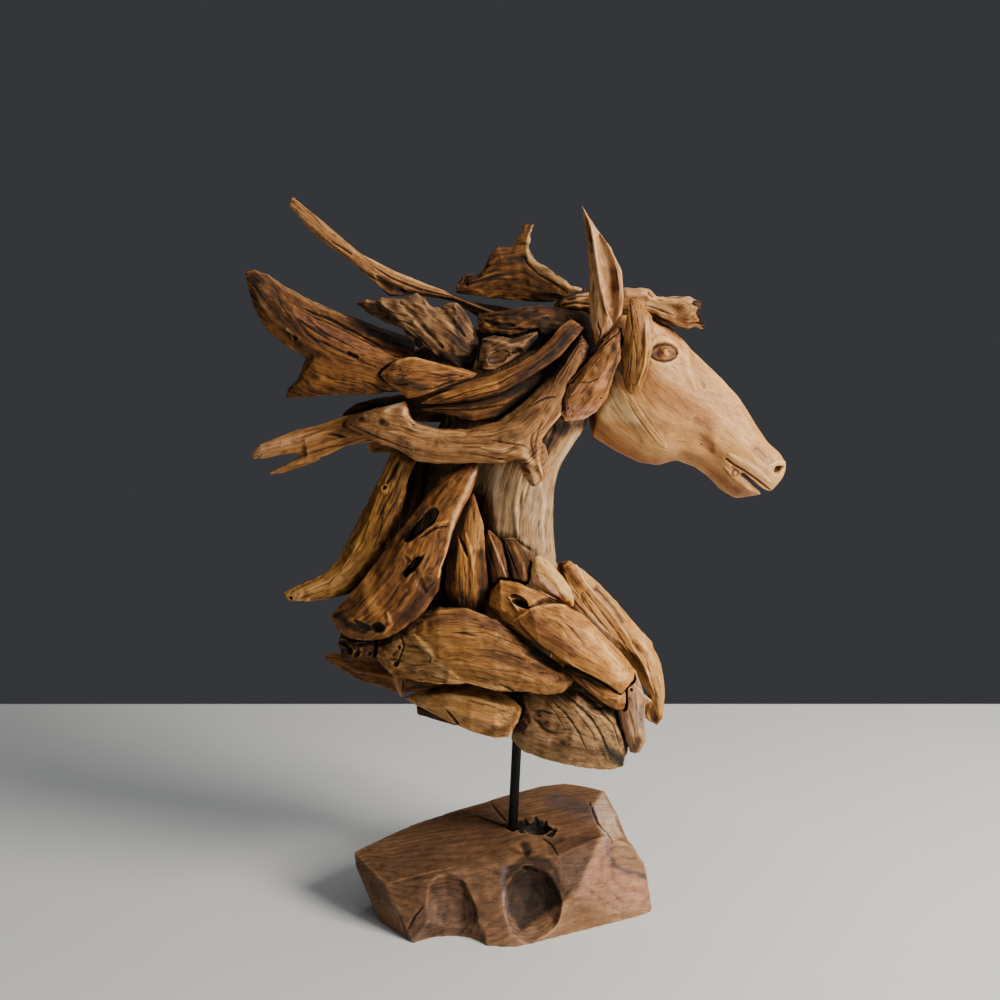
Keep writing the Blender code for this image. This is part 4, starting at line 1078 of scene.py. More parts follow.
# The jaw, the cheek and the dust at the forehead.
JAW: Marks = (
    # Painted light on the jaw's bulge, a little less red.
    patch((116, 638), (128, 622), (142, 608), (108, 614), (112, 632), width=16, tone=0.19, blush=-0.1),
    # Painted light on the brow over the eye, where the forelock's shadow falls.
    patch((164, 712), (180, 714), (190, 700), width=9, tone=0.08),
    patch((120, 660), (119, 644), (116, 628), width=6, tone=0.12, silver=0.4),
    rim((118, 660), (130, 636), (144, 612), (160, 592), (178, 574), width=14, height=0.9, tone=0.02),
    trough((112, 620), (126, 600), (148, 580), width=12, depth=0.8, tone=-0.03),
    crack((134, 642), (146, 622), (160, 602), (174, 584), width=1.5, depth=0.6, tone=-0.11),
    crack((128, 634), (139, 616), (152, 598), (166, 580), width=1.5, depth=0.6, tone=-0.12),
    crack((142, 650), (156, 630), (170, 614), depth=0.5, tone=-0.1),
    crack((112, 622), (124, 606), (134, 596), width=1.3, depth=0.4, tone=-0.1),
    crack((156, 600), (168, 586), (178, 574), depth=0.5, tone=-0.1),
    Mark(((136, 602), (142, 596)), 3, 0, -0.1, silver=0.7, wobble=0.5),
    # Painted shade along the jaw's lower edge, with a redder tint.
    patch((92, 606), (106, 584), (130, 564), (158, 554), (184, 556), width=15, tone=-0.14, blush=0.3),
    patch((206, 560), (232, 548), (256, 528), (282, 514), width=12, blush=0.25),
    crack((116, 664), (126, 646), (136, 628), (150, 606), depth=0.5, tone=-0.13),
    crack((120, 652), (132, 632), (142, 612), (156, 594), (170, 574), width=1.3, depth=0.5, tone=-0.11),
    crack((106, 650), (114, 632), (126, 612), width=1.3, depth=0.5, tone=-0.1),
    patch((230, 540), (254, 524), (276, 514), width=9, tone=-0.05, blush=0.25),
    patch((118, 704), (126, 684), (125, 664), width=10, silver=0.45),
    patch((180, 712), (188, 722), width=7, tone=-0.06),
)
# The far side has the eye, the nose, the nostril and the mouth as well, and a plain jaw.
HEAD: Marks = (*FACE, *JAW, *(replace(mark, far=True) for mark in FACE))


class Head(Cluster):
    """The carved head."""

    def __init__(self) -> None:
        """Lays out its pieces."""
        super().__init__([
            Limb("head", CARVED, "carved_teak", SMOOTH, HEAD, mesh_mm=1.15, ease=40, tone=0.61, blush=-0.1),
        ])


NEAR_EAR: Marks = (
    # A painted highlight along the ridge, and painted shade on its left face near the top.
    rim((78, 848), (87, 828), (92, 796), (98, 764), (104, 738), (112, 718), width=3.6, height=1.8),
    patch((81, 836), (85, 818), (87, 800), width=4, tone=-0.28),
    trough((97, 818), (107, 786), (113, 758), (112, 738), width=9, depth=1.8, tone=0.05),
    patch((100, 822), (104, 806), (107, 788), tone=0.22),
    patch((103, 748), (104, 726), (106, 702), width=7, tone=-0.18),
    patch((90, 772), (90, 745), (92, 716), width=7, tone=0.1),
    patch((114, 776), (116, 760), tone=-0.24, blush=0.35),
    patch((110, 764), (113, 750), width=6),
    rim((90, 838), (104, 820), (119, 793), (125, 770), (124, 736), width=2.8, height=0.5, tone=0.12),
    patch((86, 764), (88, 736), (94, 706), tone=-0.03, blush=0.1),
    crack((94, 720), (99, 708), (97, 694), width=1.5, depth=2.4),
)
FORELOCK: Marks = (
    Mark(((196, 736),), 8.5, 1.8, 0.03, knot=True, wobble=0.2),
    Mark(((130, 754), (146, 755)), 7, 1.4, 0.06),
    trough((154, 757), (160, 748), width=4.5, depth=2.4, tone=-0.15),
    rim((165, 749), (184, 744), (206, 745), width=5, tone=0.1),
    trough((157, 727), (171, 719), (186, 713), width=5, depth=2, tone=-0.24),
    crack((150, 738), (166, 734), (184, 728), width=1.8, depth=2),
    patch((214, 742), (220, 732), (219, 718), width=5, tone=-0.24),
    patch((44, 735), (62, 742), (84, 742), width=13, tone=-0.14, blush=0.1),
    crack((50, 738), (68, 742), (88, 740), width=1.7, depth=2.4),
    crack((56, 747), (74, 751), (92, 752), width=1.5, depth=1.4),
    patch((184, 738), (200, 738), (198, 724), width=9, tone=-0.2),
    patch((142, 740), (156, 740), (170, 726), tone=0.14),
)
BROW_LOCK: Marks = (
    patch((134, 738), (144, 728), (150, 714), width=10, tone=0.1, blush=0.45),
    patch((157, 720), (159, 704), (157, 690), width=5, tone=0.18, blush=0.45),
    patch((143, 672), (144, 656), width=7, tone=-0.14),
    rim((152, 720), (153, 694), (152, 670), (144, 646), width=3, height=1.6, tone=0.1),
    patch((130, 690), (133, 662), (139, 642), width=9, tone=-0.12),
    crack((131, 744), (134, 728), (136, 712), width=1.5, depth=1.6),
    crack((138, 706), (142, 684), (142, 664), width=1.3, tone=-0.16),
)
NEAR_CHEEK: Marks = (
    knot(92, 665, 5, 0.8, -0.06),
    pit(101, 630, 1.5, 1.6),
    patch((60, 636), (78, 640), (98, 646), (104, 662), width=16, tone=0.07, blush=0.6),
    crack((52, 640), (66, 652), (80, 668), width=1.7, depth=1.6),
    crack((72, 650), (86, 650), (100, 656), depth=1.2, tone=-0.2),
    rim((50, 618), (59, 605), (81, 607), (102, 616), (113, 632), height=1.4, tone=0.12),
    patch((62, 616), (80, 614), (104, 620), width=14, tone=0.2, blush=0.9),
    patch((114, 694), (119, 672), (110, 656), width=7, tone=-0.2, silver=0.35),
    patch((112, 712), (120, 704), width=7, tone=-0.08, blush=0.6),
    crack((96, 690), (108, 700), (120, 708), width=1.5, depth=2.4),
)


class Crown(Cluster):
    """The ears, forelock, brow and cheeks."""

    def __init__(self) -> None:
        """Lays out its pieces."""
        super().__init__([
            Limb("near_ear", PALE, "pale_teak", RUBBED, NEAR_EAR, mesh_mm=1.1, tone=0.63, blush=0.12),
            Limb("forelock", PALE, "pale_teak", Weather(1.6, 1.3, 0.45, 0.35, 1.5, 0.2, 3.5, 1.1), FORELOCK,
                 tone=0.63, blush=-0.1),
            Limb("brow_lock", BROWN, "brown_teak", RUBBED, BROW_LOCK, mesh_mm=1.05, tone=0.57, blush=0.1),
            Limb("near_cheek", ORANGE, "orange_teak", Weather(1.6, 0.9, 0.35, 0.35, 1.4, 0.1, 2, 0.8),
                 NEAR_CHEEK, mesh_mm=1.15, tone=0.47, blush=0.12),
        ])


NEAR_BRANCH: Marks = (
    knot(-182, 607, 5, 0.4, -0.45),
    knot(-158, 604, 6, 0.4, -0.45),
    knot(-91, 580, 6, 0.8, -0.16),
    knot(-16, 583, 5, 0.6, -0.14),
    # A painted highlight on the horn.
    patch((-150, 622), (-136, 626), (-130, 616), tone=0.28),
    patch((-160, 598), (-142, 597), (-118, 586), width=9),
    crack((-198, 601), (-172, 588), (-143, 576), (-119, 568), width=1.5, depth=1.4, tone=-0.21),
    patch((-188, 588), (-162, 573), (-132, 562), tone=-0.12, blush=0.25),
    rim((-150, 592), (-120, 586), (-92, 592), (-60, 590), width=7, tone=0.06),
    rim((-40, 573), (-8, 567), (10, 561), (27, 552), (33, 538), width=7, height=1.6, tone=0.09),
    rim((54, 612), (40, 596), (30, 580), (26, 562), (31, 544), width=6, height=1.8, tone=0.07),
    trough((-20, 558), (4, 551), (16, 543), width=5, depth=1.6, tone=-0.08),
    crack((-30, 582), (-8, 578), (10, 574), (20, 568), width=1.6, depth=1.4, tone=-0.2),
    crack((22, 592), (20, 578), (22, 566), width=1.6, depth=1.4, tone=-0.2),
    crack((34, 606), (28, 590), (24, 574), tone=-0.15),
    patch((-4, 588), (8, 580), width=7, tone=-0.12, silver=0.3),
    patch((36, 634), (56, 662), (80, 696), width=18, tone=-0.13, blush=0.2),
    crack((14, 622), (36, 632), (50, 634), width=1.8, depth=1.8),
    crack((46, 652), (60, 672), (74, 694), width=1.6, depth=1.6),
    patch((-122, 558), (-104, 556), (-84, 555), (-40, 552), width=6, tone=0.12),
    knot(25, 536, 8, 0.8, 0),
    # A painted highlight down the stem.
    patch((6, 578), (14, 564), (20, 548), (24, 534), width=9, tone=0.26),
    patch((38, 618), (24, 614), (12, 606), width=9, tone=-0.16),
    crack((-60, 566), (-30, 560), (0, 552), tone=-0.16),
    # Painted highlights along the top and lower edges.
    rim((-156, 616), (-142, 624), (-131, 628), height=0.4, tone=0.16),
    rim((-128, 614), (-116, 600), (-92, 594), (-60, 592), height=0.4, tone=0.12),
)
LEAF_SLAT: Marks = (
    patch((-136, 653), (-122, 648), (-106, 642), tone=-0.14, blush=0.3, silver=0.5),
    rim((-147, 672), (-123, 679), (-88, 672), (-53, 660), width=3.6, tone=0.12),
    crack((-130, 664), (-104, 662), (-76, 656), depth=1.2, tone=-0.2),
    crack((-116, 640), (-96, 642), (-74, 650), depth=1.2, tone=-0.2),
    patch((-110, 634), (-96, 640), width=7, tone=0.04, blush=0.4),
)
SWOOP: Marks = (
    rim((-104, 630), (-72, 643), (-32, 654), (5, 673), (27, 693), (38, 707), width=5),
    crack((-98, 624), (-59, 637), (-19, 648), (13, 666), width=1.6, depth=1.4, tone=-0.21),
    crack((-60, 630), (-20, 640), (12, 656), tone=-0.16),
    patch((-60, 628), (-20, 638), (10, 656), width=7, tone=-0.06),
    # Painted shade at the upper end, under the cheek.
    patch((66, 712), (50, 692), (36, 676), (20, 666), (6, 658), width=10, tone=-0.26),
    patch((-80, 634), (-56, 638), (-24, 646), width=9, tone=0.2),
)
LOWER_SLAT: Marks = (
    crack((-95, 618), (-53, 618), (-10, 624), width=1.5, depth=2.4),
    patch((-84, 616), (-50, 610), (-24, 610), tone=0.1, blush=0.35),
    patch((0, 640), (20, 655), width=10, tone=-0.05),
)
CUP_KNOT: Marks = (
    Mark(((-24, 678), (-11, 679), (3, 682)), 12, -4.5, 0, wobble=0.5),
    # The bowl's inside: redder wood, painted paler as lit.
    patch((-26, 680), (-12, 680), (2, 681), width=14, tone=0.12, blush=0.5),
    rim((-38, 700), (-20, 698), (-5, 693), (8, 694), (23, 706), width=5, height=1.8),
    rim((-38, 666), (-16, 663), (5, 675), (22, 692), height=1.4, tone=0.1),
    crack((-26, 688), (-8, 684), (4, 679), width=2, depth=2.4, tone=-0.33),
    patch((-38, 690), (-36, 676), width=6, tone=-0.15),
    patch((-4, 701), (22, 702), tone=-0.16),
    patch((-36, 672), (-34, 660), (-20, 668), width=7, tone=0.14),
)
RIDGE_STRIP: Marks = (
    rim((-10, 738), (14, 740), (40, 740), tone=0.06),
    trough((-36, 722), (-20, 716), (-2, 716), width=5, depth=2.5, tone=-0.2),
    rim((-4, 712), (16, 722), (38, 728), width=4.5, height=1.2),
    trough((4, 728), (24, 734), width=4, depth=2, tone=-0.15),
    crack((-40, 728), (-20, 730), (0, 730), width=1.7, depth=2.4),
    patch((50, 730), (76, 726), width=14, tone=-0.12),
    patch((-8, 730), (10, 729), (24, 724), (40, 715), width=11, tone=-0.16),
    patch((-36, 715), (-24, 712), width=7, tone=0.22),
)
RAGGED_SLAB: Marks = (
    rim((-160, 746), (-136, 722), (-118, 704), (-90, 678), width=6, height=1.3, silver=0.2),
    trough((-134, 744), (-118, 727), (-100, 706), (-86, 690), depth=1.8, tone=-0.08),
    Mark(((-109, 714), (-103, 708)), 6, -1, -0.18, silver=0.8, wobble=0.4),
    rim((-106, 746), (-88, 726), (-66, 702), width=5, height=1.2, tone=0.06),
    trough((-92, 744), (-74, 722), (-58, 704), width=5, depth=1.8),
    rim((-72, 740), (-60, 722), (-48, 708), tone=0.06),
    patch((-181, 739), (-163, 728), (-142, 720), width=10),
    patch((-90, 680), (-70, 674), (-54, 672), width=9, tone=-0.22),
    crack((-128, 716), (-112, 700), (-98, 686), depth=1.2, tone=-0.18),
    patch((-64, 732), (-62, 716), (-68, 702), (-62, 688), width=12, tone=-0.24),
    patch((-132, 740), (-130, 726), (-118, 720), width=9, tone=0.16),
)
CROWN_ANTLER: Marks = (
    pit(-57, 763, 2.2, 2.4, -0.4),
    Mark(((21, 831), (17, 812), (15, 796), (22, 788), (33, 783), (47, 772), (63, 763), (80, 757)), 6, 1.4,
         0.34, 0.15, 0.7, wobble=0.5),
    crack((9, 796), (14, 788), (26, 776), (47, 763), (61, 753), width=2, depth=2.2, tone=-0.25),
    patch((-42, 754), (-5, 747), (32, 741), width=6, tone=0.1),
    patch((-60, 772), (-36, 792), (-24, 802), width=6),
    patch((-66, 762), (-56, 754), tone=0.05, blush=0.55),
    patch((4, 796), (14, 776), (34, 762), width=6, blush=0.3),
    patch((-22, 790), (-6, 790), (8, 792), width=9, tone=-0.12),
    patch((22, 826), (20, 810), (36, 784), width=4, tone=0.14),
)
DARK_LEAF: Marks = (
    crack((-190, 626), (-165, 624), (-142, 620), width=1.7, depth=2.4),
)
WING: Marks = (
    patch((-300, 768), (-292, 742), (-276, 720), (-262, 708), width=14, tone=-0.05, silver=0.4),
    patch((-262, 735), (-228, 716), (-190, 700), (-152, 684), width=14, tone=0.05, blush=0.4),
    rim((-292, 778), (-270, 763), (-244, 749), (-219, 736), (-196, 727), width=5.5, tone=0.18, silver=0.7),
    crack((-266, 746), (-245, 735), (-219, 726), (-181, 706), (-152, 688), width=2.2, depth=3.4, tone=-0.37),
    crack((-262, 728), (-236, 714), (-206, 700), (-178, 684), width=1.5, depth=1.4, tone=-0.21),
    crack((-256, 738), (-230, 725), (-200, 711), depth=1.2, tone=-0.18),
    crack((-240, 702), (-220, 694), (-196, 682), (-164, 668), width=1.7, depth=1.8, tone=-0.23),
    crack((-278, 758), (-272, 740), (-262, 722), width=1.5, depth=1.2, tone=-0.16),
    patch((-264, 706), (-252, 694), width=7, tone=-0.18),
    pit(-258, 701, 3.2, 3.6),
    Mark(((-268, 712), (-261, 706)), 2.2, 1.4, 0.26, taper=0.4),
    Mark(((-196, 684), (-186, 680)), 2.4, -2.6, -0.4, profile=Profile.FLAT, wobble=0.4),
    patch((-206, 722), (-172, 711), (-132, 696), width=9, tone=-0.08),
    patch((-258, 642), (-236, 656), (-206, 660), (-176, 652), width=19, tone=0.05),
    crack((-240, 664), (-216, 654), (-184, 648), tone=-0.16),
    patch((-268, 640), (-258, 637)),
    patch((-300, 773), (-284, 766), (-278, 752), width=10, tone=-0.16),
    patch((-252, 728), (-236, 719), (-222, 709), tone=0.1, blush=0.3),
    patch((-234, 638), (-204, 636), (-174, 638), width=6, tone=-0.06),
)
LONG_QUILL: Marks = (
    # Painted shade on the underside face.
    trough((-160, 771), (-146, 761), (-130, 754), width=9, tone=-0.4),
    patch((-256, 848), (-230, 834), (-199, 806), width=9, tone=0.09),
    crack((-168, 786), (-145, 771), (-111, 757), (-70, 748), width=1.7, depth=1.8),
    rim((-176, 796), (-139, 776), (-100, 762), (-66, 752), width=3.4, height=1.2, tone=0.12),
    # Painted shade where the quill's end passes behind.
    patch((-100, 752), (-70, 743), (-30, 728), tone=-0.18),
    crack((-214, 812), (-200, 804), (-188, 796), width=1.7, depth=2.4),
    patch((-258, 858), (-250, 850), width=7, tone=-0.08),
)
FORK_STICK: Marks = (
    crack((-222, 589), (-211, 588), (-200, 584), width=2.2, depth=2.6, tone=-0.37),
    patch((-310, 566), (-288, 574), (-258, 582), (-240, 588), width=14, tone=0.13, blush=0.6),
    patch((-290, 543), (-270, 550), (-246, 560), tone=0.08, blush=0.2),
    patch((-215, 594), (-192, 602), (-166, 606), width=13),
    patch((-190, 614), (-170, 618), width=5, tone=-0.25),
    crack((-256, 584), (-240, 590), (-224, 596), tone=-0.16),
    crack((-240, 566), (-222, 572), (-204, 576), tone=-0.16),
    patch((-306, 570), (-288, 576), (-264, 584), tone=0.06),
)


class Mane(Cluster):
    """The mane: slats, antler, wing and quill, and the pale branch under them."""

    def __init__(self) -> None:
        """Lays out its pieces."""
        rugged = Weather(1.8, 1.4, 0.5, 0.5, 1.6, 0.15, 5, 1.4)
        super().__init__([
            Limb("near_branch", PALE, "pale_teak", Weather(1.8, 1.2, 0.25, 0.25, 1.2, 0.06, 1.5, 0.5),
                 NEAR_BRANCH, mesh_mm=1.3, ease=12, tone=0.45, silver=0.05),
            Limb("leaf_slat", ORANGE, "orange_teak", RUBBED, LEAF_SLAT, tone=0.39, blush=0.1),
            Limb("swoop", ORANGE, "orange_teak", Weather(1.4, 0.9, 0.35, 0.3, 1.4, 0.1, 2, 0.5), SWOOP,
                 tone=0.3, blush=-0.1),
            Limb("lower_slat", BROWN, "brown_teak", RUBBED, LOWER_SLAT, mesh_mm=1.3, tone=0.33, blush=0.1,
                 silver=-0.15),
            Limb("cup_knot", GREYED, "grey_teak", Weather(1.2, 1, 0.2, 0.25, 1.2, 0.05, 1, 0.6), CUP_KNOT,
                 mesh_mm=1.05, tone=0.33),
            Limb("ridge_strip", BROWN, "brown_teak", rugged, RIDGE_STRIP, tone=0.24, blush=0.05, silver=-0.2),
            Limb("ragged_slab", GREYED, "grey_teak", Weather(1.8, 1.2, 0.8, 0.4, 1.4, 0.12, 6, 1.6),
                 RAGGED_SLAB, tone=0.38),
            Limb("crown_antler", BROWN, "brown_teak", rugged, CROWN_ANTLER, tone=0.33),
            Limb("dark_leaf", BROWN, "brown_teak", ROUGH, DARK_LEAF, mesh_mm=1.5, tone=0.22),
            Limb("wing", ORANGE, "orange_teak", Weather(1.8, 1, 0.4, 0.3, 1.6, 0.12, 2.5, 0.7), WING,
                 mesh_mm=1.3, tone=0.28),
            Limb("long_quill", PALE, "pale_teak", Weather(1.2, 0.7, 0.35, 0.25, 1.2, 0.12, 2, 0.4),
                 LONG_QUILL, mesh_mm=1.1, tone=0.44),
            Limb("fork_stick", ORANGE, "orange_teak", RUBBED, FORK_STICK, mesh_mm=1.3, tone=0.48, blush=0.12,
                 silver=0.2),
        ])


HOLED_PLANK: Marks = (
    rim((-140, 456), (-122, 480), (-102, 504), width=3.2, height=0.7),
    crack((-116, 463), (-98, 475), (-78, 478), width=2, depth=3, tone=-0.34),
    rim((-112, 472), (-96, 481), (-78, 484), width=3, height=0.8),
    knot(-87, 467, 7, 1.2, -0.02),
    knot(-103, 413, 5, 1, -0.06),
    knot(-133, 399, 3.6, 1, 0.06),
    patch((-106, 417), (-100, 416), width=2.4, tone=0.16),
    patch((-51, 550), (-50, 536), tone=0.18, blush=0.9),
    Mark(((-45, 550), (-54, 529), (-64, 508), (-72, 491), (-76, 472), (-80, 455), (-85, 434), (-91, 416)),
         5.5, 0.8, 0.4, 0.4, 0.3, taper=0.3),
    rim((-156, 371), (-151, 355), (-161, 343), width=5, height=1.8),
    patch((-176, 416), (-178, 396), (-172, 376), (-160, 364), width=12, tone=0.24),
    patch((-219, 368), (-205, 355), (-186, 346), width=9, tone=-0.3),
    trough((-196, 360), (-184, 352), (-176, 348), depth=2.5, tone=-0.25),
    patch((-142, 360), (-126, 376), (-110, 390), (-98, 404), width=15, tone=-0.2, blush=0.35),
    trough((-132, 440), (-118, 418), (-108, 396), width=7, depth=1.6, tone=-0.07),
    patch((-124, 452), (-108, 440), (-96, 424), width=9, tone=0.05),
    patch((-166, 436), (-150, 450), (-136, 470), tone=-0.04),
    crack((-128, 420), (-118, 432), (-110, 444), width=2.2, depth=3, tone=-0.33),
    crack((-98, 512), (-86, 526), (-74, 540), tone=-0.16),
    patch((-108, 500), (-92, 470), (-96, 446), width=9),
    patch((-62, 560), (-54, 548), width=7, tone=0.12, blush=0.5),
)
NAPE_BURL: Marks = (
    knot(-196, 340, 6, 1.5),
    knot(-178, 330, 5, 1.5),
    pit(-190, 330, 3, 3),
    Mark(((-211, 331), (-204, 322)), 6, -5, -0.3, wobble=0.9),
    Mark(((-197, 315), (-191, 320)), 3.6, -3.5, -0.2, wobble=0.9),
    pit(-178, 318, 2.6, 3, -0.25),
    rim((-214, 337), (-203, 338), (-190, 336), (-174, 337), width=5, height=1.6, tone=0.2),
    rim((-192, 334), (-188, 326), (-190, 316), height=1.4, tone=0.16),
    patch((-182, 332), (-176, 324), width=7, tone=0.12, blush=0.3),
    crack((-200, 332), (-196, 324), width=1.6, depth=2),
)
HOOK_STICK: Marks = (
    pit(-157, 525, 3, 3.4),
    knot(-157, 523, 8, 1.8, 0.02),
    trough((-139, 556), (-148, 540), (-154, 530), width=4, depth=2.6, tone=-0.2),
    rim((-150, 556), (-158, 542), (-165, 528), width=4.5, height=1.4, tone=0.04),
    rim((-132, 556), (-142, 538), (-150, 520), width=4.5, height=1.4),
    patch((-152, 560), (-166, 536), (-176, 508), width=7, tone=-0.06),
    patch((-140, 540), (-142, 515), (-145, 500), (-158, 484), (-164, 470), width=9, tone=-0.2),
    # Painted light on the stick's shaded underside.
    patch((-152, 460), (-168, 440), (-186, 420), (-204, 400), (-222, 394), width=9, tone=0.22),
    patch((-268, 390), (-240, 400), (-216, 412), (-196, 432), width=14, tone=0.15, blush=0.25),
    pit(-274, 387, 3.4, 3.5, -0.4),
    Mark(((-264, 385), (-250, 386)), 3.5, 1.2, 0.15, taper=0.3),
    patch((-282, 392), (-275, 384), width=6, tone=-0.25),
    knot(-211, 412, 4.5, 0.8, -0.05),
    crack((-176, 440), (-164, 466), (-158, 494), width=1.5, depth=1.2, tone=-0.2),
    crack((-246, 400), (-226, 408), (-210, 424), tone=-0.16),
    crack((-196, 440), (-184, 462), (-176, 486), tone=-0.16),
)
THROAT_BLADE: Marks = (
    crack((-68, 466), (-62, 452), (-57, 439), width=2.6, depth=4, tone=-0.41),
    patch((-54, 500), (-50, 476), (-46, 452), width=6, tone=0.12, silver=0.25),
    rim((-60, 470), (-54, 446), (-50, 420), width=5, height=1.2, tone=0.06),
    patch((-74, 444), (-72, 416), (-66, 396), width=9, tone=-0.15),
    patch((-40, 446), (-38, 420), (-39, 396), tone=-0.3),
    patch((-56, 452), (-55, 432), (-54, 414), width=7, tone=0.1),
    crack((-62, 432), (-60, 414), (-60, 398), tone=-0.16),
)
NECK_TRUNK: Marks = (
    patch((26, 530), (26, 490), (32, 446), width=16, tone=-0.02, silver=0.1),
    # Painted shade down the trunk's left side, where it lies behind the nape pieces.
    patch((-56, 540), (-52, 480), (-46, 400), width=16, tone=-0.35),
    patch((-24, 548), (-25, 510), (-26, 474), width=13, tone=0.24, blush=0.1),
    # Painted shade: the trunk's far left lies deep inside the horse.
    patch((-98, 590), (-104, 480), (-104, 380), width=46, tone=-0.5),
    patch((4, 528), (10, 500), (14, 468), tone=-0.12),
    crack((-6, 462), (8, 456), (24, 446), width=1.8, depth=2),
    rim((8, 540), (0, 500), (4, 466), width=6, height=1.4, tone=0.04),
    rim((30, 540), (36, 500), (34, 460), width=6, height=1.4, tone=0.06),
    # Painted shade under the cheek, with a redder, less grey tint.
    Mark(((30, 604), (46, 600), (58, 596)), 16, -2, -0.24, 0.2, -0.5, wobble=0.2),
    patch((34, 558), (46, 574), (58, 587), width=11, tone=-0.16, blush=0.2, silver=-0.5),
    # A painted highlight down the trunk's right edge.
    patch((78, 592), (66, 574), (56, 554), (48, 536), width=7, tone=0.14),
    # Painted shade, from here to the end, where the trunk shows in the gaps between the mane, the cheek, the
    # belly and the flank.
    patch((40, 672), (70, 676), (90, 690), width=30, tone=-0.45),
    patch((-120, 690), (-60, 700), (20, 700), width=34, tone=-0.4),
    patch((-60, 610), (-20, 622), (20, 640), width=20, tone=-0.4),
    patch((0, 300), (8, 260), (8, 230), width=30, tone=-0.4),
    patch((34, 572), (48, 589), (64, 598), (82, 605), width=15, tone=-0.34),
    patch((8, 342), (34, 324), (60, 308), width=30, tone=-0.7),
)
COLLAR_LEFT: Marks = (
    rim((-32, 470), (-21, 443), (-10, 414), width=3, tone=0.26, silver=0.2),
    patch((-28, 450), (-22, 428), width=7, tone=-0.04, blush=0.5),
)
COLLAR_MID: Marks = (
    patch((-1, 452), (9, 432), (14, 414), width=4.5, tone=0.24, blush=0.2),
    patch((-8, 446), (-2, 424), width=7, tone=-0.08, blush=0.5),
    rim((-18, 463), (0, 464), (20, 444), width=2.6, height=0.8, tone=0.1, silver=0.3),
    crack((-12, 456), (-4, 436), (2, 418), width=1.5, depth=2.4),
)


class Nape(Cluster):
    """The pieces down the back of the neck, the trunk of the neck, and the shards at its collar."""

    def __init__(self) -> None:
        """Lays out its pieces."""
        super().__init__([
            Limb("holed_plank", ORANGE, "orange_teak", Weather(2, 1.3, 0.3, 0.3, 1.4, 0.08, 3, 0.8),
                 HOLED_PLANK, tone=0.34, blush=0.05),
            Limb("nape_burl", BROWN, "brown_teak", ROUGH, NAPE_BURL, mesh_mm=1.3, tone=0.19),
            Limb("hook_stick", BROWN, "brown_teak", Weather(1.8, 1.2, 0.4, 0.35, 1.5, 0.12, 3.5, 0.9),
                 HOOK_STICK, mesh_mm=1.3, tone=0.51, silver=0.1),
            Limb("throat_blade", ORANGE, "orange_teak", RUBBED, THROAT_BLADE, tone=0.46),
            # Kept nearly black: painted shade, deep among the other pieces.
            Limb("back_slat", BROWN, "orange_teak", RUBBED, mesh_mm=1.8, tone=0.14),
            Limb("neck_trunk", TRUNK, "grey_teak", Weather(2.4, 1.6, 0.7, 0.5, 1.2, 0.08, 0, 0.4),
                 NECK_TRUNK, mesh_mm=1.9, ease=120, tone=0.63, silver=0.14),
            Limb("collar_left", BROWN, "brown_teak", RUBBED, COLLAR_LEFT, mesh_mm=1.1, tone=0.35, blush=0.15,
                 silver=0.1),
            Limb("collar_mid", BROWN, "brown_teak", RUBBED, COLLAR_MID, mesh_mm=1.1, tone=0.25, blush=0.1,
                 silver=0.1),
        ])


GOLD_CHIP: Marks = (
    patch((30, 436), (46, 424), (62, 402), tone=0.14, blush=-0.2),
    patch((26, 414), (40, 402), (54, 388), tone=-0.12, blush=0.9),
    knot(28, 417, 2.6, 0.5),
    groove((21, 423), (34, 419), (46, 407), (60, 386), width=1.6, depth=0.6, tone=-0.14),
)
NEAR_SHOULDER: Marks = (
    Mark(((-2, 386), (8, 382), (15, 378)), 4.6, -4, -0.45, profile=Profile.FLAT, taper=0.6),
    Mark(((-7, 391), (-1, 381), (4, 374)), 2.4, 2.2, 0.24, taper=0.5),
    knot(-9, 370, 5.5, 0.6, -0.3),
    rim((-24, 412), (8, 404), (38, 394), (66, 384), height=0.8),
    patch((-12, 408), (4, 404), (-8, 388), (0, 372), (20, 376), width=11, tone=-0.17),
    trough((15, 377), (36, 388), (60, 386), width=4, depth=2.4, tone=-0.2),
    rim((-2, 360), (20, 377), (46, 381), (68, 380), width=3.4, height=1.2, tone=0.1),
    # A painted highlight along the top right edge.
    patch((94, 346), (108, 330), (122, 312), (134, 288), width=13, tone=0.2),
    patch((20, 364), (34, 352), (52, 336), (70, 324), width=13, tone=-0.19, blush=0.45),
    crack((46, 364), (58, 352), (68, 338), width=1.3, depth=0.6, tone=-0.16),
    crack((56, 364), (68, 352), (80, 338), width=1.3, depth=0.6, tone=-0.16),
    crack((62, 358), (76, 344), (88, 326), width=1.3, depth=0.6, tone=-0.16),
    crack((96, 346), (104, 336), (112, 324), width=1.3, depth=0.6, tone=-0.16),
    rim((66, 308), (90, 290), (112, 274), (132, 268), tone=0.1),
    patch((78, 296), (108, 280), (132, 272), width=7, tone=-0.08),
)
UNDER_SHOULDER: Marks = (
    patch((120, 271), (132, 265), (142, 262), width=9, tone=0.26, blush=0.2),
    rim((88, 280), (106, 262), (132, 262), width=3, height=0.8, tone=0.1),
    crack((84, 286), (104, 270), (122, 258), tone=-0.16),
)
SHOULDER_DRIP: Marks = (
    knot(143, 271, 6.5, 1, -0.1),
    pit(144, 272, 2.4, 2.4),
    crack((136, 296), (134, 280), (138, 262), width=1.5, depth=2.4),
    rim((150, 278), (160, 268), (170, 258), height=0.8),
    patch((156, 250), (158, 226), tone=-0.08, silver=0.6),
    patch((154, 206), (150, 194), width=9, tone=-0.28),
    crack((140, 250), (146, 232), (150, 214), tone=-0.16),
)
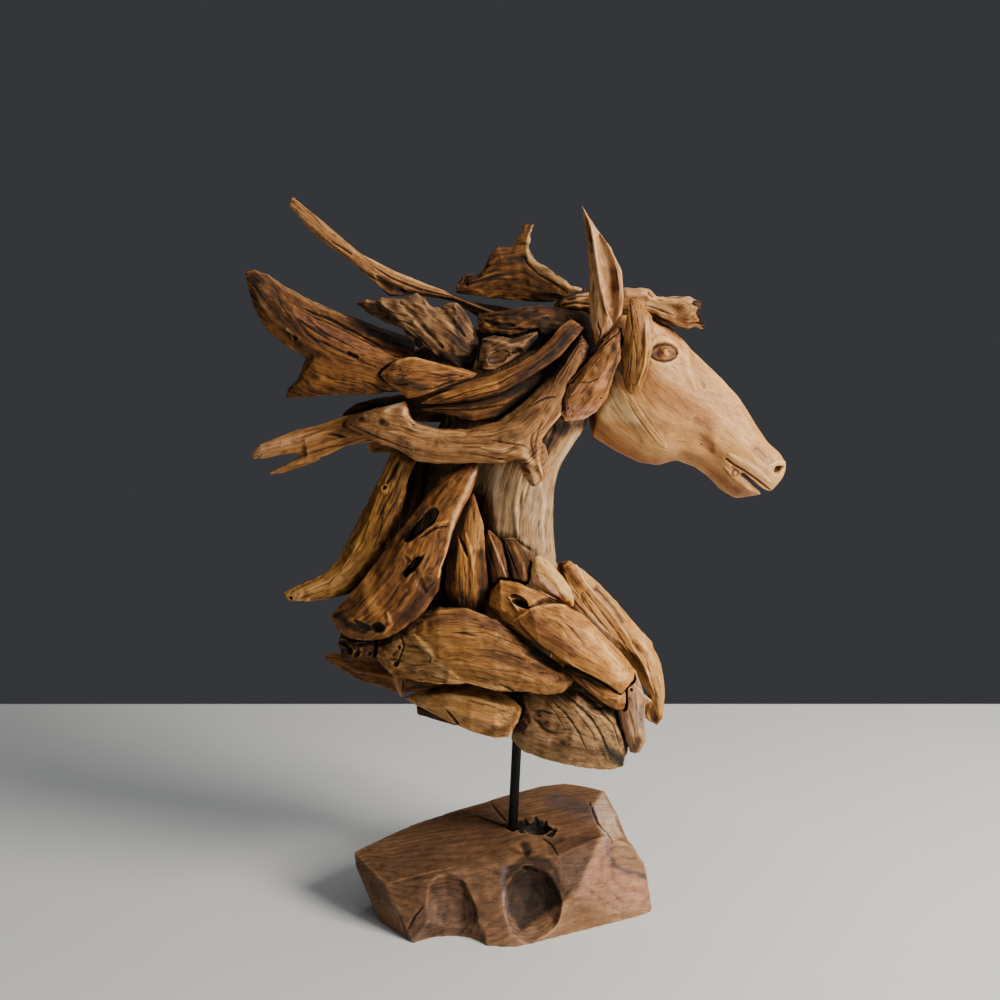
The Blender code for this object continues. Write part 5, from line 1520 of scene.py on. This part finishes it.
FRONT_SHOULDER: Marks = (
    # Painted shade on the dark left plane at the top.
    patch((54, 430), (66, 424), (76, 408), width=11, tone=-0.38),
    rim((74, 431), (85, 410), (116, 375), (141, 337), (160, 303), (172, 268), width=4.5, height=1.2,
        tone=0.12),
    patch((76, 378), (92, 362), (108, 346), (126, 328), tone=0.2, blush=0.5),
    patch((94, 400), (110, 380), (128, 358), width=6, tone=-0.08, blush=0.3),
    crack((82, 402), (104, 374), (128, 342), (148, 308), width=1.6, depth=1.6, tone=-0.21),
    crack((76, 400), (96, 370), (118, 342), width=1.5, depth=1.4, tone=-0.18),
    crack((92, 406), (114, 378), (138, 346), (156, 312), width=1.5, depth=1.2, tone=-0.16),
    patch((100, 402), (119, 380), (132, 360), width=4.5, tone=-0.22, silver=0.7),
    patch((146, 356), (158, 336), (168, 312), (172, 292), tone=0.16),
    patch((163, 250), (172, 238), (180, 232), width=10, tone=-0.32),
    crack((160, 316), (168, 290), (174, 262), tone=-0.16),
)
FLANK: Marks = (
    pit(-144, 326, 2.4, 2.6),
    pit(-147, 304, 3.6, 3.6),
    Mark(((-152, 340), (-136, 322), (-118, 304), (-100, 290)), 21, -3, 0.06, 0, 0.3,
         profile=Profile.FLAT, wobble=0.25),
    rim((-124, 344), (-110, 328), (-102, 312), (-88, 300), (-70, 288), width=7, height=0.9, tone=0.22),
    crack((-110, 322), (-104, 314), (-108, 304), width=1.5, depth=1.6),
    crack((-142, 345), (-138, 328), (-146, 306), width=1.8, depth=2),
    patch((-94, 362), (-56, 366), (-20, 356), (14, 340), width=12, blush=0.5),
    crack((-92, 346), (-36, 347), (10, 330), (30, 312), width=1.5, depth=0.9, tone=-0.16),
    crack((-60, 326), (-20, 322), (20, 308), depth=0.8, tone=-0.13),
    crack((-40, 300), (0, 296), (30, 286), depth=0.8, tone=-0.11),
    knot(42, 284, 6.5, 0.8, -0.14),
    crack((-20, 279), (-8, 274), (2, 267), width=2, depth=2),
    patch((-26, 318), (4, 309), (31, 299), (54, 288), width=12, tone=-0.17),
    patch((-96, 290), (-72, 282), (-44, 277), (-16, 273), tone=0.24),
    patch((26, 328), (36, 320), (48, 312), width=9, tone=-0.34),
)
BELLY: Marks = (
    crack((-86, 247), (-77, 236), (-66, 221), width=2.4, depth=3.2, tone=-0.41),
    knot(-23, 224, 6.5, 0.8, -0.26),
    patch((-46, 228), (-34, 224), tone=0.04, blush=0.6),
    rim((8, 248), (3, 232), (-8, 211), width=3.5, height=0.8, tone=0.1),
    crack((-70, 262), (-36, 254), (-4, 242), depth=0.9, tone=-0.15),
    patch((-126, 284), (-104, 276), width=12, tone=-0.2),
    rim((-92, 262), (-46, 262), (0, 250), width=8, height=0.8, tone=0.05),
    patch((-36, 214), (-22, 218), (-6, 226), (2, 240), width=9, tone=-0.22),
    # Painted light along the top, against the flank's shadow.
    patch((-74, 268), (-54, 270), (-34, 264), tone=0.16),
)
KEEL: Marks = (
    knot(31, 240, 6, 1, -0.24),
    knot(40, 230, 5, 0.8, -0.24),
    knot(61, 204, 7, 1, -0.28),
    rim((48, 268), (78, 247), (104, 214), (118, 180), width=5, tone=0.03),
    rim((66, 275), (100, 250), (125, 218), (137, 184), width=5, tone=0.03),
    crack((34, 262), (50, 243), (62, 222), width=1.3, tone=-0.14),
    crack((44, 262), (62, 242), (80, 218), (90, 194), width=2, depth=1.8, tone=-0.22),
    crack((52, 268), (74, 248), (98, 216), (104, 186), width=1.3, tone=-0.14),
    crack((58, 270), (84, 250), (106, 222), (120, 188), width=2.4, depth=2.2, tone=-0.26),
    crack((70, 262), (98, 240), (118, 210), width=1.2, depth=0.9, tone=-0.14),
    crack((74, 276), (100, 258), (124, 228), (134, 194), width=2.2, depth=2, tone=-0.25),
    crack((92, 274), (114, 256), (130, 234), depth=1.1, tone=-0.16),
    patch((118, 192), (134, 177), width=13, tone=-0.16, silver=0.2),
    Mark(((122, 190), (136, 177)), 11, 0, -0.05, -0.5, 0.5, wobble=0.4),
    patch((137, 232), (143, 208), (140, 188), width=6, tone=-0.3),
    patch((14, 258), (20, 232), (38, 204), width=10, tone=0.1, blush=0.35),
    patch((60, 190), (80, 180), (100, 175), tone=0.03, blush=0.3),
    patch((60, 202), (84, 196), (108, 190), width=10, tone=-0.12),
    patch((124, 216), (132, 204), width=7, tone=-0.16),
    patch((112, 200), (126, 187), (138, 176), width=11, tone=-0.2, silver=0.6),
)


class Chest(Cluster):
    """The blocks and tongues of the chest and shoulder."""

    def __init__(self) -> None:
        """Lays out its pieces."""
        hewn = Weather(1.2, 0.7, 0.2, 0.15, 1, 0.05, 1, 0.4)
        super().__init__([
            Limb("gold_chip", BROWN, "orange_teak", hewn, GOLD_CHIP, mesh_mm=1.05, ease=3, tone=0.86,
                 blush=0.1),
            Limb("near_shoulder", ORANGE, "orange_teak", hewn, NEAR_SHOULDER, ease=4, tone=0.54),
            Limb("under_shoulder", ORANGE, "orange_teak", hewn, UNDER_SHOULDER, mesh_mm=1.3, ease=4,
                 tone=0.34),
            Limb("shoulder_drip", PALE, "pale_teak", RUBBED, SHOULDER_DRIP, mesh_mm=1.1, tone=0.59,
                 silver=0.3),
            Limb("front_shoulder", ORANGE, "orange_teak", Weather(1.2, 0.7, 0.35, 0.25, 1.2, 0.08, 2, 0.5),
                 FRONT_SHOULDER, mesh_mm=1.3, ease=6, tone=0.63, silver=0.1),
            Limb("flank", ORANGE, "orange_teak", Weather(1.6, 0.9, 0.35, 0.25, 1.4, 0.06, 3, 0.7), FLANK,
                 ease=4, tone=0.43, silver=0.2),
            Limb("belly", ORANGE, "orange_teak", hewn, BELLY, ease=4, tone=0.56, silver=0.35),
            # Kept nearly black: painted shade, deep among the other pieces.
            Limb("belly_slat", BROWN, "brown_teak", RUBBED, mesh_mm=1.8, tone=0.14),
            Limb("tail_chip", PALE, "pale_teak", RUBBED, tone=0.44),
            Limb("keel", GREYED, "grey_teak", Weather(1.5, 1, 0.5, 0.4, 1.6, 0.15, 5, 0.8), KEEL,
                 tone=0.54, blush=0.05, silver=0.45),
            Limb("rump", ORANGE, "orange_teak", RUBBED, mesh_mm=1.8, tone=0.24),
        ])


class FarSide(Cluster):
    """The far side's pieces, finished in keeping and plainer."""

    def __init__(self) -> None:
        """Lays out its pieces."""
        plain = Weather(1.8, 1.2, 0.5, 0.3, 1.5, 0.15, 2, 0.6)
        woods = (
            (ORANGE, "orange_teak", 0.46, "cheek swoop wing blade shoulder flank chip tongue"),
            (BROWN, "brown_teak", 0.36, "slat ridge leaf plank belly keel collar"),
            (PALE, "pale_teak", 0.52, "ear drip"),
            (PALE, "pale_teak", 0.55, "branch"),
            (GREYED, "grey_teak", 0.48, "slab"),
        )
        # The far branch's free end shows behind the near side, and lies in shadow there.
        shaded = {"branch": (patch((-196, 560), (-160, 566), width=30, tone=-0.3),)}
        super().__init__([
            Limb(f"far_{name}", teak, slot, plain, shaded.get(name, ()), mesh_mm=2.2, ease=12, tone=tone)
            for teak, slot, tone, names in woods for name in names.split()
        ])


FOOT_BLOCK: Marks = (
    # The facets: the left end, the top, the first front face, and the wide dip. Each facet's tone is painted
    # light and shade, by how it lies to the light, along with the wood's own colour.
    plane((-201, 62), (-164, 12), (-138, -64), (-174, -38), (-204, 39), tone=-0.04),
    plane((-201, 62), (-171, 80), (-87, 111), (-28, 127), (0, 112), (-7, 64), (-71, 39), (-164, 12),
          tone=-0.07),
    plane((-164, 12), (-71, 39), (-84, 14), (-124, -25), (-138, -64), tone=-0.09),
    plane((-71, 39), (-52, -25), (-67, -61), (-93, -57), (-138, -64), (-124, -25), (-84, 14), soft=4,
          tone=-0.07, blush=0.15, silver=0.2),
    # The steep step, and the orange ridge between it and the great hollow; their tones too are painted light
    # and shade along with their colour.
    plane((-69, 39), (-50, -6), (-33, -34), (-46, -43), (-58, -29), (-67, 21), soft=3, tone=-0.1),
    plane((-62, 39), (-12, 62), (-7, 44), (-16, 12), (-7, -34), (5, -57), (-46, -29), (-50, -6), soft=3,
          tone=-0.05, blush=-0.3),
    # The great hollow: its heart darkened as painted shade, and its greyed left rim.
    plane((-7, 39), (14, 55), (39, 53), (56, 35), (63, 7), (56, -11), (35, -29), (10, -48), (-7, -20),
          (-14, 17), soft=3, tone=-0.27),
    patch((8, 30), (18, 12), (22, -8), width=17),
    patch((-12, 40), (-14, 16), (-10, -4), (-4, -24), width=6, tone=0.03, silver=0.9),
    pit(14, 37, 4, 3),
    pit(26, 34, 2.4, 2.2),
    Mark(((12, 70), (16, 60)), 8, -1.5, -0.28, wobble=0.6),
    patch((-6, 64), (8, 58), (24, 60), width=5, tone=-0.16),
    # The right end: a brown facet, a rose one under a violet arch, and an orange dip; their tones are painted
    # light and shade along with their colour.
    plane((39, 78), (108, 82), (82, 17), (63, -8), (60, 39), (45, 57), tone=-0.15, blush=0.15),
    plane((110, 80), (119, 80), (126, 39), (153, 30), (168, 21), (176, -27), (99, -4), (77, -2), tone=0.13,
          blush=0.55),
    plane((123, 80), (152, 73), (168, 39), (166, 30), (136, 37), (125, 53), tone=0.1, blush=-0.3),
    patch((117, 80), (119, 57), (127, 40), (146, 31), (168, 26), width=5, tone=-0.12, silver=0.6),
    plane((60, -13), (99, -4), (176, -27), (35, -66), (38, -38), tone=0.09, blush=-0.2),
    patch((50, -22), (64, -14), (72, -6), width=6, tone=0.12, blush=-0.3),
    plane((111, 142), (124, 118), (137, 80), (123, 78), (110, 84), (99, 122), soft=3, tone=0.36, silver=0.3),
    crack((-136, -48), (-127, -29), (-115, -14), width=1.8, depth=2),
    # The hewn edges, worn a little paler.
    rim((-164, 16), (-130, 26), (-98, 34), (-71, 40), width=2.6, height=0.3, tone=0.12),
    rim((-163, 12), (-150, -26), (-139, -60), width=2.6, height=0.3, tone=0.1),
    # The ragged pit beside the rod, and the cracks in the top.
    Mark(((12, 96), (27, 93), (42, 89)), 8.5, -2, -0.38, profile=Profile.FLAT, wobble=1.3),
    patch((18, 95), (36, 91), width=15, tone=-0.24),
    crack((27, 92), (28, 102), (26, 109), width=3.4, depth=3, tone=-0.33),
    crack((20, 94), (14, 101), (12, 105), width=3.2, depth=3, tone=-0.33),
    crack((34, 92), (39, 99), (41, 103), width=3.2, depth=3, tone=-0.33),
    crack((36, 88), (46, 90), (54, 89), width=3, depth=2.4, tone=-0.33),
    crack((34, 80), (47, 70), (56, 54), width=1.8, depth=2.4, tone=-0.33),
    crack((94, 128), (100, 112), (105, 99), (118, 85), (125, 74), width=1.8, depth=3, tone=-0.33),
    crack((-29, 125), (-20, 113), (-8, 99), width=1.8, depth=2.2),
    crack((-50, 110), (-36, 104), (-18, 98), width=1.6, depth=1.6, tone=-0.21),
    patch((50, 130), (82, 118), (100, 108), width=18, silver=0.5),
    patch((56, 104), (80, 100), width=12, tone=-0.06),
)


class Foot(Cluster):
    """The hewn foot: flat axe facets, a great knot hollow and long curved grain."""

    def __init__(self) -> None:
        """Lays out its one piece."""
        worn = Weather(0.4, 0.3, 0.1, 0.06, 0, 0, 0, 0.3)
        super().__init__([
            Limb("foot_block", HEWN, "foot_teak", worn, FOOT_BLOCK, mesh_mm=1.6, ease=1, tone=0.48,
                 silver=0.16),
        ])

    def build(self, nodes: dict[str, bpy.types.Object]) -> None:
        """Carves the foot, and keeps its underside flat on the floor.

        Args:
            nodes: the frame's solids.
        """
        super().build(nodes)
        skin = self.limbs[0].skin
        skin.points[:, 2] = np.maximum(skin.points[:, 2], 0)
        skin.write()


@dataclass
class Rod:
    """The painted steel rod from the foot to the neck.

    Attributes:
        radius: its radius, m.
        sides: the facets round it.
        bevel: the bevel of its two ends, m.
        end: how near an end a vertex of the solid belongs to it, m.
        smooth: the angle up to which its facets are shaded as one, degrees.
        piece: the rod itself, once it is built.
    """

    radius: float = 0.006
    sides: int = 64
    bevel: float = 0.0006
    end: float = 0.002
    smooth: float = 40.0
    piece: bpy.types.Object | None = None

    def build(self, solid: bpy.types.Object) -> None:
        """Adds a cylinder, bevels its two ends, and leans it as the solid leans.

        Args:
            solid: the CAD rod.
        """
        low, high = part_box("rod")
        points = np.array([v.co for v in solid.data.vertices])
        foot = points[points[:, 2] < low.z + self.end].mean(0)
        top = points[points[:, 2] > high.z - self.end].mean(0)
        bpy.ops.object.select_all(action="DESELECT")
        bpy.ops.mesh.primitive_cylinder_add(vertices=self.sides, radius=self.radius, depth=high.z - low.z)
        self.piece = bpy.context.object
        self.piece.name = "painted_rod"
        bpy.ops.object.mode_set(mode="EDIT")
        bpy.ops.mesh.bevel(offset=self.bevel, segments=2)
        bpy.ops.object.mode_set(mode="OBJECT")
        mesh = self.piece.data
        count = len(mesh.vertices)
        flat = np.zeros(count * 3, np.float32)
        mesh.vertices.foreach_get("co", flat)
        local = flat.reshape(-1, 3)
        share = (local[:, 2] / (high.z - low.z) + 0.5)[:, None]
        local = np.column_stack([local[:, :2], np.zeros(count)]) + foot + (top - foot) * share
        mesh.vertices.foreach_set("co", local.astype(np.float32).ravel())
        mesh.update()

    def dress(self) -> None:
        """Paints it and puts it in the frame."""
        self.piece.data.materials.append(BlackSteel().material())
        bpy.ops.object.select_all(action="DESELECT")
        self.piece.select_set(True)
        bpy.ops.object.shade_smooth_by_angle(angle=math.radians(self.smooth))
        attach(self.piece, "root")
        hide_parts("rod")
        LOG.info("%s: %d vertices", self.piece.name, len(self.piece.data.vertices))


@dataclass
class Studio:
    """A pale floor, soft daylight from the right, and the camera.

    Attributes:
        lens: focal length, mm.
        sensor: width of the sensor, mm.
        pitch: how far the camera looks down, degrees.
        key: watts of the window light.
        fill: watts of the light from the left.
        top: watts of the light above.
        sky: strength of the light from all round.
        floor_at: the middle of the floor, m. It lies just under the foot, so the two never flicker.
        floor_size: its two sides, m.
    """

    lens: float = 38.09
    sensor: float = 36.0
    pitch: float = 9.1
    key: float = 118.0
    fill: float = 4.0
    top: float = 17.0
    sky: float = 0.21
    floor_at: Place = (0.0, -0.95, -0.0003)
    floor_size: tuple[float, float] = (5.0, 3.3)

    def light(self, name: str, place: Place, aim: Place, size: float, watts: float, colour: str) -> None:
        """Hangs one square soft light.

        Args:
            name: its name.
            place: where it hangs, m.
            aim: the point that it faces, m.
            size: its side, m.
            watts: its power.
            colour: its sRGB colour.
        """
        data = bpy.data.lights.new(name, "AREA")
        data.shape, data.size, data.energy = "SQUARE", size, watts
        data.color = linear(colour)[:3]
        lamp = bpy.data.objects.new(name, data)
        bpy.context.scene.collection.objects.link(lamp)
        lamp.location = place
        way = np.array(aim) - np.array(place)
        flat = math.hypot(way[0], way[1])
        lamp.rotation_euler = (math.atan2(flat, -way[2]), 0.0, math.atan2(-way[0], way[1]))

    def build(self) -> None:
        """Lays the floor, hangs the lights and sets up the camera."""
        bpy.ops.object.select_all(action="DESELECT")
        bpy.ops.mesh.primitive_plane_add(size=1.0, location=self.floor_at)
        floor = bpy.context.object
        floor.name = "floor"
        floor.scale = (*self.floor_size, 1.0)
        bpy.ops.object.transform_apply(location=True, scale=True)
        floor.data.materials.append(self.floor_paint())
        self.light("window", (1.9, -1.05, 1.5), (0.02, 0.0, 0.45), 1.0, self.key, "#FFF6EA")
        self.light("room", (-1.7, -1.9, 1.3), (0.0, 0.0, 0.5), 1.8, self.fill, "#EEF3FF")
        self.light("ceiling", (0.2, 0.2, 2.4), (0.0, 0.0, 0.4), 1.6, self.top, "#FFFFFF")
        world = bpy.data.worlds.new("studio")
        bpy.context.scene.world = world
        nodes = Nodes(world)
        glow = nodes.add("Background", {"Color": linear("#7C7E86"), "Strength": self.sky})
        nodes.add("OutputWorld", {"Surface": glow})
        data = bpy.data.cameras.new("camera")
        data.lens, data.sensor_width = self.lens, self.sensor
        camera = bpy.data.objects.new("camera", data)
        bpy.context.scene.collection.objects.link(camera)
        camera.location = tuple(EYE / MM)
        camera.rotation_euler = (math.radians(90 - self.pitch), 0.0, 0.0)
        bpy.context.scene.camera = camera

    def floor_paint(self) -> bpy.types.Material:
        """Matt pale floor paint, faintly uneven.

        Returns:
            The material.
        """
        made = bpy.data.materials.new("pale_floor_paint")
        nodes = Nodes(made)
        blots = nodes.cloud(nodes.add("TexCoord", {}, "Object"), 3.0, 4.0)
        nodes.surface(Base_Color=nodes.mix(blots, linear("#D9DCDC"), linear("#E2E4E3")), Roughness=0.6)
        return made


def main() -> None:
    logging.basicConfig(level=logging.INFO, format="%(name)s %(message)s")
    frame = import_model()
    nodes = frame["nodes"]
    clusters = [Head(), Crown(), Mane(), Nape(), Chest(), FarSide(), Foot()]
    for cluster in clusters:
        cluster.build(nodes)
    nest = Nest()
    nest.count([limb for cluster in clusters for limb in cluster.limbs])
    looks: dict[str, bpy.types.Material] = {}
    for cluster in clusters:
        cluster.dress(nest, looks)
    rod = Rod()
    rod.build(nodes["rod"])
    rod.dress()
    Studio().build()


if __name__ == "__main__":
    main()
